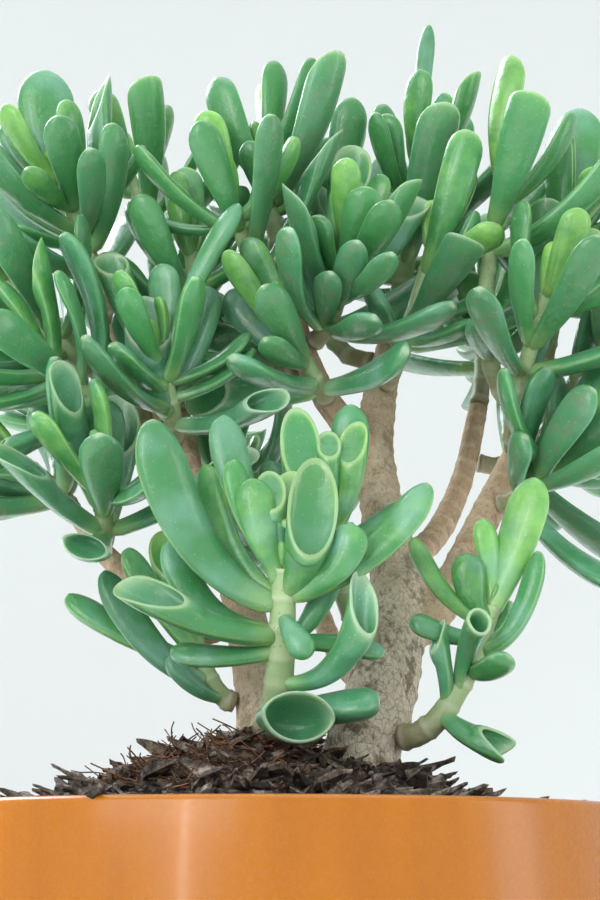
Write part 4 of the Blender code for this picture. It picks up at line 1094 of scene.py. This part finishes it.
def scatter_tree(name, material):
    """Strews pieces over a surface: at random places, turned any way, tipped up to a lean, in many sizes."""
    tree = bpy.data.node_groups.new(name, "GeometryNodeTree")
    tree.is_modifier = True
    sockets = {}
    tree.interface.new_socket("Geometry", in_out="INPUT", socket_type="NodeSocketGeometry")
    for label, kind in (("Pieces", "Collection"), ("Spacing", "Float"), ("Lean", "Float"), ("Smallest", "Float"),
                        ("Largest", "Float"), ("Seed", "Int"), ("Where", "Int")):
        made = tree.interface.new_socket(label, in_out="INPUT", socket_type="NodeSocket" + kind)
        sockets[label] = made.identifier
    tree.interface.new_socket("Geometry", in_out="OUTPUT", socket_type="NodeSocketGeometry")
    given = node(tree, "NodeGroupInput").outputs
    form = node(tree, "GeometryNodeInputNamedAttribute", {
        "Name": "ground_form"}, data_type="FLOAT_VECTOR").outputs[0]
    split = node(tree, "ShaderNodeSeparateXYZ", {0: form}).outputs
    places = {0: given["Where"], 1: split["X"], 2: split["Y"]}
    chosen = node(tree, "GeometryNodeIndexSwitch", places, data_type="FLOAT").outputs[0]
    crowding = node(tree, "ShaderNodeMath", {0: given["Spacing"], 1: -2.0}, operation="POWER").outputs[0]
    density = node(tree, "ShaderNodeMath", {0: chosen, 1: crowding}, operation="MULTIPLY").outputs[0]
    spots = node(tree, "GeometryNodeDistributePointsOnFaces", {
        "Mesh": given["Geometry"], "Density": density, "Seed": given["Seed"]})
    down = node(tree, "ShaderNodeMath", {0: given["Lean"], 1: -1.0}, operation="MULTIPLY").outputs[0]
    low = node(tree, "ShaderNodeCombineXYZ", {0: down, 1: down, 2: 0.0}).outputs[0]
    nod = node(tree, "ShaderNodeMath", {0: given["Lean"], 1: 0.25}, operation="MULTIPLY").outputs[0]
    high = node(tree, "ShaderNodeCombineXYZ", {0: given["Lean"], 1: nod, 2: 2 * math.pi}).outputs[0]
    ways = {0: low, 1: high, "Seed": given["Seed"]}
    tipped = node(tree, "FunctionNodeRandomValue", ways, data_type="FLOAT_VECTOR").outputs[0]
    spin = node(tree, "FunctionNodeEulerToRotation", {0: tipped}).outputs[0]
    sizes = {2: given["Smallest"], 3: given["Largest"], "Seed": 5}
    size = node(tree, "FunctionNodeRandomValue", sizes, data_type="FLOAT").outputs[1]
    pieces = node(tree, "GeometryNodeCollectionInfo", {
        "Collection": given["Pieces"], "Separate Children": True, "Reset Children": True}).outputs[0]
    strewn = node(tree, "GeometryNodeInstanceOnPoints", {
        "Points": spots.outputs["Points"], "Instance": pieces, "Pick Instance": True,
        "Rotation": spin, "Scale": size}).outputs[0]
    real = node(tree, "GeometryNodeRealizeInstances", {0: strewn}).outputs[0]
    finished = node(tree, "GeometryNodeSetMaterial", {"Geometry": real, "Material": material}).outputs[0]
    node(tree, "NodeGroupOutput", {0: finished})
    return tree, sockets


def strew(name, ground, patterns, material, **values):
    """A plain mesh of the pieces that a scatter strews over the ground."""
    tree, sockets = scatter_tree(name + "_scatter", material)
    stock = bpy.data.collections.new(name + "_stock")
    for pattern in patterns:
        bpy.context.scene.collection.objects.unlink(pattern)
        stock.objects.link(pattern)
    piece = bpy.data.objects.new(name, ground.data.copy())
    bpy.context.scene.collection.objects.link(piece)
    modifier = piece.modifiers.new("Strew", "NODES")
    modifier.node_group = tree
    modifier[sockets["Pieces"]] = stock
    for label, value in values.items():
        modifier[sockets[label]] = value
    baked(piece)
    for pattern in patterns:
        bpy.data.objects.remove(pattern)
    bpy.data.collections.remove(stock)
    return piece


def compost_material(name, light, mid, dark, scale, rough):
    """Composted bark or coir: dry, fibrous and matt, its colour changing from piece to piece."""
    made, tree = new_material(name)
    place_at = node(tree, "ShaderNodeTexCoord").outputs["Object"]
    patch = node(tree, "ShaderNodeTexNoise", {
        "Vector": place_at, "Scale": 1 / scale, "Detail": 5.0, "Roughness": 0.7}).outputs[0]
    grain = node(tree, "ShaderNodeTexNoise", {
        "Vector": place_at, "Scale": 1 / 0.0006, "Detail": 3.0, "Roughness": 0.7}).outputs[0]
    shift = node(tree, "ShaderNodeMapRange", {0: grain, 3: -0.16, 4: 0.16}).outputs[0]
    spread = node(tree, "ShaderNodeMath", {0: patch, 1: shift}, operation="ADD").outputs[0]
    ramp = node(tree, "ShaderNodeValToRGB", {0: spread})
    set_stops(ramp, (0.38, colour(dark)), (0.52, colour(mid)), (0.68, colour(light)))
    skin = node(tree, "ShaderNodeBump", {"Strength": 0.7, "Distance": 0.0005, "Height": grain}).outputs[0]
    shader = node(tree, "ShaderNodeBsdfPrincipled", {
        "Base Color": ramp.outputs[0], "Roughness": rough, "Normal": skin, "Specular IOR Level": 0.35})
    node(tree, "ShaderNodeOutputMaterial", {"Surface": shader.outputs[0]})
    return made


# Pot


def pot_radius(height):
    """The pot's outer radius: it swells to its widest a little under the rim, then draws in."""
    widest = RIM_RADIUS + BELLY_SWELL
    waist = POT_HEIGHT - BELLY_DROP
    if height > waist:
        return widest - BELLY_SWELL * ((height - waist) / BELLY_DROP) ** 2
    return widest - (widest - BASE_RADIUS) * (1 - height / waist) ** 2


def build_pot(material):
    """The moulded pot, turned from its section with a rounded lip and foot, then drilled."""
    lip = POT_WALL / 2
    crest = POT_HEIGHT - lip
    middle = pot_radius(crest) - lip
    corner = BASE_RADIUS - FOOT_ROUNDING
    heights = np.linspace(FOOT_ROUNDING * 2, crest, 26)[:-1]
    profile = [(0.0, POT_FLOOR), (corner - POT_WALL, POT_FLOOR)]
    profile += [(pot_radius(height) - POT_WALL, height) for height in heights]
    for angle in np.radians(np.linspace(180, 0, 13)):
        profile.append((middle + lip * math.cos(angle), crest + lip * math.sin(angle)))
    profile += [(pot_radius(height), height) for height in reversed(heights)]
    foot = pot_radius(FOOT_ROUNDING * 2)
    for angle in np.radians(np.linspace(15, 90, 7)):
        profile.append((corner + (foot - corner) * math.cos(angle), FOOT_ROUNDING * 2 * (1 - math.sin(angle))))
    profile += [(0.0, 0.0)]
    pot = mesh_piece("moulded_pot", [(r, 0.0, z) for r, z in profile], [], [material])
    edges = [(index, index + 1) for index in range(len(profile) - 1)]
    pot.data.edges.add(len(edges))
    pot.data.edges.foreach_set("vertices", [end for edge in edges for end in edge])
    screw = pot.modifiers.new("Turn", "SCREW")
    screw.steps = screw.render_steps = 180
    screw.use_merge_vertices = True
    screw.merge_threshold = 1e-5
    screw.use_smooth_shade = True
    cutters = []
    for index in range(DRAIN_COUNT):
        angle = 2 * math.pi * (index + 0.5) / DRAIN_COUNT
        bpy.ops.mesh.primitive_cylinder_add(vertices=32, radius=DRAIN_RADIUS, depth=POT_FLOOR * 3, location=(
            DRAIN_CIRCLE * math.cos(angle), DRAIN_CIRCLE * math.sin(angle), POT_FLOOR / 2))
        cutters.append(bpy.context.object)
        cut = pot.modifiers.new(f"Drain {index + 1}", "BOOLEAN")
        cut.object = cutters[-1]
        cut.solver = "EXACT"
    baked(pot)
    for cutter in cutters:
        bpy.data.objects.remove(cutter)
    return pot


def pot_material(settings):
    """Injection-moulded polypropylene, dyed through and glossy. Light sinks in a little, which softens its
    shading, and the mould leaves faint upright flow lines and a fine scatter of scuffs."""
    made, tree = new_material("moulded_polypropylene")
    place_at = node(tree, "ShaderNodeTexCoord").outputs["Object"]
    upright = node(tree, "ShaderNodeMapping", {0: place_at, "Scale": (1.0, 1.0, 0.08)}).outputs[0]
    flow = node(tree, "ShaderNodeTexNoise", {
        "Vector": upright, "Scale": 1 / 0.011, "Detail": 3.0, "Roughness": 0.5}).outputs[0]
    share = node(tree, "ShaderNodeMapRange", {0: flow, 1: 0.3, 2: 0.7}).outputs[0]
    tone = node(tree, "ShaderNodeMix", {
        0: share, 6: settings.shade, 7: settings.body}, **OF_COLOURS).outputs[2]
    dust = node(tree, "ShaderNodeTexNoise", {
        "Vector": place_at, "Scale": 1 / 0.0012, "Detail": 4.0, "Roughness": 0.8}).outputs[0]
    rough = node(tree, "ShaderNodeMapRange", {
        0: dust, 1: 0.45, 2: 0.75, 3: settings.roughness, 4: settings.roughness + 0.14}).outputs[0]
    skin = node(tree, "ShaderNodeBump", {"Strength": 0.10, "Distance": 0.0008, "Height": flow}).outputs[0]
    shader = node(tree, "ShaderNodeBsdfPrincipled", {
        "Base Color": tone, "Roughness": rough, "Normal": skin, "IOR": 1.49, "Specular IOR Level": 0.42,
        "Subsurface Weight": 0.06, "Subsurface Radius": (1.0, 0.45, 0.12), "Subsurface Scale": 0.003,
        "Coat Weight": 0.12, "Coat Roughness": 0.05})
    node(tree, "ShaderNodeOutputMaterial", {"Surface": shader.outputs[0]})
    return made


# Stage


def plain_material(name, tint, rough):
    made, tree = new_material(name)
    place_at = node(tree, "ShaderNodeTexCoord").outputs["Object"]
    soft = node(tree, "ShaderNodeTexNoise", {"Vector": place_at, "Scale": 3.0, "Detail": 2.0}).outputs[0]
    dull = node(tree, "ShaderNodeMapRange", {0: soft, 3: rough - 0.05, 4: rough + 0.05}).outputs[0]
    shader = node(tree, "ShaderNodeBsdfPrincipled", {
        "Base Color": tint, "Roughness": dull, "Specular IOR Level": 0.2})
    node(tree, "ShaderNodeOutputMaterial", {"Surface": shader.outputs[0]})
    return made


def build_backdrop(material):
    """A round pale studio sweep: a floor that curves up all round into a wall."""
    reach, bend, top, sides = 3.2, 1.0, 2.7, 96
    profile = [(0.4, 0.0), (1.2, 0.0), (reach - bend, 0.0)]
    for angle in np.radians(np.arange(10, 91, 10)):
        profile.append((reach - bend + bend * math.sin(angle), bend * (1 - math.cos(angle))))
    profile.append((reach, top))
    points = [(0.0, 0.0, 0.0)]
    for radius, height in profile:
        points += [(radius * math.cos(a), radius * math.sin(a), height) for a in turns(sides)]
    faces = []
    for index in range(sides):
        after = (index + 1) % sides
        faces.append((0, 1 + index, 1 + after))
        for row in range(len(profile) - 1):
            low = 1 + row * sides
            faces.append((low + index, low + sides + index, low + sides + after, low + after))
    return mesh_piece("studio_sweep", points, faces, [material])


def soft_light(name, place_at, aim, width, height, watts, code):
    """A rectangular soft box that looks at a point."""
    data = bpy.data.lights.new(name, "AREA")
    data.shape = "RECTANGLE"
    data.size, data.size_y = width, height
    data.energy = watts
    data.color = colour(code)[:3]
    lamp = bpy.data.objects.new(name, data)
    bpy.context.scene.collection.objects.link(lamp)
    lamp.location = place_at
    lamp.rotation_euler = (Vector(aim) - Vector(place_at)).to_track_quat("-Z", "Y").to_euler()
    return lamp


# Settings


def paint(name, description, code):
    """A colour that a user can change, given as an sRGB hex code."""
    return bpy.props.FloatVectorProperty(
        name=name, description=description, subtype="COLOR", size=4, min=0, max=1, default=colour(code))


def length(name, description, default):
    return bpy.props.FloatProperty(name=name, description=description, default=default, unit="LENGTH")


def factor(name, description, default):
    return bpy.props.FloatProperty(
        name=name, description=description, default=default, min=0, max=1, subtype="FACTOR")


class PotSettings(bpy.types.PropertyGroup):
    body: paint("Colour", "The dyed plastic's colour, as a hex code", "#B36A08")
    shade: paint("Flow colour", "The plastic's colour along its flow lines", "#A66007")
    roughness: factor("Roughness", "How dull the moulded surface is", 0.24)


class CompostSettings(bpy.types.PropertyGroup):
    chip_length: length("Bark length", "Length of a middling piece of bark", 0.0075)
    chip_spacing: length("Bark spacing", "Distance between pieces of bark", 0.0030)
    crumb_spacing: length("Crumb spacing", "Distance between crumbs", 0.0024)
    strand_spacing: length("Coir spacing", "Distance between strands in the coir lump", 0.0016)
    seed: bpy.props.IntProperty(name="Seed", description="Picks another scatter", default=4)


class BarkSettings(bpy.types.PropertyGroup):
    fineness: length("Fineness", "Size of the bark skin's facets", 0.0006)
    scar_spacing: length("Scar spacing", "Distance between leaf scars", 0.0055)
    old_bark: paint("Old bark", "Colour of thick, old bark, as a hex code", "#DCD0BC")
    mid_bark: paint("Middling bark", "Colour of bark a few years old", "#C8AE92")
    young_bark: paint("Young bark", "Colour of young bark", "#AE9275")


class LeafSettings(bpy.types.PropertyGroup):
    young: paint("Young leaf", "Colour of a new leaf, as a hex code", "#8FC862")
    grown: paint("Grown leaf", "Colour of a full-sized leaf", "#478B4D")
    # The old-leaf colour is also the painted shade in cup hollows
    old: paint("Old leaf", "Colour of an old leaf", "#458659")
    stalk: paint("Stalk", "Colour at a leaf's foot", "#A2C37C")
    # The margin colour is partly painted glow of light through thin edges
    margin: paint("Margin", "Colour of the line along a leaf's edge", "#B4D586")
    underside: paint("Old underside", "Colour of cork on old undersides", "#77745F")
    # The bloom colour is also a painted sheen of bluish light on the upper sides
    bloom_and_sheen: paint("Bloom", "Colour of the wax bloom", "#98C6C0")
    lip: paint("Lip", "Colour of a cup's dry lip and of the pores", "#CEDCBE")
    roughness: factor("Roughness", "How dull the clean wax is", 0.30)
    translucence: factor("Translucence", "How much light soaks into a leaf", 0.16)


class StageSettings(bpy.types.PropertyGroup):
    lens: bpy.props.FloatProperty(
        name="Lens", description="The camera's focal length in millimetres", default=80.0, min=10)
    tilt: bpy.props.FloatProperty(
        name="Tilt", description="How far the camera looks up", default=math.radians(12), subtype="ANGLE")
    distance: length("Distance", "From the pot's axis to the camera", 0.462)
    backdrop: paint("Backdrop", "The studio sweep's colour, as a hex code", "#E8EAE9")


# Operators


KEPT = {}
FRONT_SHOOTS = ("shoot_front", "shoot_second", "shoot_low_right", "shoot_low_left")


def grown_plan():
    """The plant, grown once and kept for the operators that follow."""
    if "plan" not in KEPT:
        KEPT["plan"] = Plan()
    return KEPT["plan"]


class JADE_OT_pot(bpy.types.Operator):
    """Turn the glossy pot"""

    bl_idname = "jade.pot"
    bl_label = "Pot"

    def execute(self, context):
        pot = build_pot(pot_material(context.scene.jade_pot))
        hand_over(pot, "orange_pot", "pot")
        return {"FINISHED"}


class JADE_OT_compost(bpy.types.Operator):
    """Fill the pot with bark compost and strew bark, crumbs and coir over it"""

    bl_idname = "jade.compost"
    bl_label = "Compost"

    def execute(self, context):
        settings = context.scene.jade_compost
        chance = np.random.default_rng(settings.seed)
        bark = compost_material("composted_bark", "#A69B90", "#57493F", "#151110", 0.006, 0.78)
        crumbs = compost_material("compost_crumbs", "#77614C", "#3A2C23", "#17120F", 0.003, 0.9)
        coir = compost_material("coir_fibre", "#A9825C", "#7A5138", "#3D281C", 0.004, 0.85)
        ground = build_ground(crumbs)
        long = settings.chip_length
        chips = []
        for index in range(9):
            size = [long * chance.uniform(*ends) for ends in ((0.35, 1.25), (0.2, 0.46), (0.1, 0.28))]
            chips.append(splinter(f"chip_{index}", chance, *size))
        grit = [splinter(f"grit_{index}", chance, long * 0.26, long * 0.2, long * 0.14) for index in range(5)]
        strands = []
        for index in range(8):
            strands.append(fibre(f"strand_{index}", chance, long * chance.uniform(0.5, 1.2), STRAND_THICKNESS))
        loose = [
            strew("bark_pieces", ground, chips, bark, Spacing=settings.chip_spacing,
                  Lean=0.5, Smallest=0.5, Largest=1.35, Seed=settings.seed, Where=ON_GROUND),
            strew("bark_crumbs", ground, grit, crumbs, Spacing=settings.crumb_spacing,
                  Lean=1.5, Smallest=0.4, Largest=1.4, Seed=settings.seed + 1, Where=ON_GROUND),
            strew("coir_strands", ground, strands, coir, Spacing=settings.strand_spacing,
                  Lean=0.7, Smallest=0.5, Largest=1.2, Seed=settings.seed + 2, Where=ON_COIR),
        ]
        hand_over(ground, "bark_compost", "bark_compost")
        for piece in loose:
            hand_over(piece, "bark_compost")
        return {"FINISHED"}


class JADE_OT_bark(bpy.types.Operator):
    """Cover the trunks and limbs in bark"""

    bl_idname = "jade.bark"
    bl_label = "Trunks and limbs"

    def execute(self, context):
        settings = context.scene.jade_bark
        bark = build_bark(grown_plan(), bark_material(settings), settings)
        hand_over(bark, "jade_bark", *[limb.name for limb in LIMBS])
        return {"FINISHED"}


class JADE_OT_foliage(bpy.types.Operator):
    """Grow the leafy shoots"""

    bl_idname = "jade.foliage"
    bl_label = "Leafy shoots"

    def execute(self, context):
        settings = context.scene.jade_leaf
        materials = [leaf_material(settings), stem_material(settings)]
        for index, shoot in enumerate(SHOOTS):
            chance = np.random.default_rng(100 + index)
            piece = build_foliage(grown_plan(), shoot, materials, chance, shoot.name in FRONT_SHOOTS)
            hand_over(piece, "jade_leaf", shoot.name)
        return {"FINISHED"}


class JADE_OT_stage(bpy.types.Operator):
    """Set the pale sweep, the soft lights and the camera"""

    bl_idname = "jade.stage"
    bl_label = "Stage"

    def execute(self, context):
        settings = context.scene.jade_stage
        build_backdrop(plain_material("seamless_paper", settings.backdrop, 0.9))
        centre = (0.0, 0.0, POT_HEIGHT + PLANT_HEIGHT * 0.4)
        soft_light("window_light", (-0.9, 0.8, 1.25), centre, 0.9, 0.9, 34.0, "#F2F8FF")
        soft_light("front_fill", (-0.75, -1.4, 0.85), centre, 1.3, 0.9, 12.0, "#FFFFFF")
        soft_light("left_strip", (-0.44, -1.12, 0.30), (0, 0, 0.12), 0.05, 0.9, 2.2, "#FFFFFF")
        soft_light("right_panel", (1.15, -0.24, 0.35), (0, 0, 0.12), 0.34, 0.9, 2.6, "#FFFFFF")
        soft_light("top_light", (0.0, 0.0, 2.9), (0, 0, 0.2), 3.0, 3.0, 35.0, "#FFFFFF")
        world = bpy.data.worlds.new("studio_air")
        world.use_nodes = True
        world.node_tree.nodes["Background"].inputs[0].default_value = colour("#F4F8FA")
        world.node_tree.nodes["Background"].inputs[1].default_value = 0.82
        context.scene.world = world
        lens = bpy.data.cameras.new("camera")
        lens.lens = settings.lens
        lens.sensor_width = 36.0
        lens.clip_start = 0.01
        camera = bpy.data.objects.new("camera", lens)
        context.scene.collection.objects.link(camera)
        camera.location = (0.008, -settings.distance, 0.115)
        camera.rotation_euler = (math.radians(90) + settings.tilt, 0.0, 0.0)
        context.scene.camera = camera
        context.scene.view_settings.view_transform = "Standard"
        return {"FINISHED"}


class JADE_PT_panel(bpy.types.Panel):
    """The plant's pieces and their settings"""

    bl_idname = "JADE_PT_panel"
    bl_label = "Jade plant"
    bl_space_type = "VIEW_3D"
    bl_region_type = "UI"
    bl_category = "Jade plant"

    def draw(self, context):
        for operator, group in STEPS:
            box = self.layout.box()
            box.operator(operator.bl_idname)
            settings = getattr(context.scene, group)
            for name in type(settings).__annotations__:
                box.prop(settings, name)


STEPS = (
    (JADE_OT_stage, "jade_stage"),
    (JADE_OT_pot, "jade_pot"),
    (JADE_OT_compost, "jade_compost"),
    (JADE_OT_bark, "jade_bark"),
    (JADE_OT_foliage, "jade_leaf"),
)
GROUPS = (StageSettings, PotSettings, CompostSettings, BarkSettings, LeafSettings)


def register():
    for group, (_, name) in zip(GROUPS, STEPS):
        bpy.utils.register_class(group)
        setattr(bpy.types.Scene, name, bpy.props.PointerProperty(type=group))
    for operator, _ in STEPS:
        bpy.utils.register_class(operator)
    bpy.utils.register_class(JADE_PT_panel)


def unregister():
    bpy.utils.unregister_class(JADE_PT_panel)
    for operator, _ in STEPS:
        bpy.utils.unregister_class(operator)
    for group, (_, name) in zip(GROUPS, STEPS):
        delattr(bpy.types.Scene, name)
        bpy.utils.unregister_class(group)


def main():
    register()
    bpy.ops.jade.stage()
    bpy.ops.jade.pot()
    bpy.ops.jade.compost()
    bpy.ops.jade.bark()
    bpy.ops.jade.foliage()


if __name__ == "__main__":
    main()
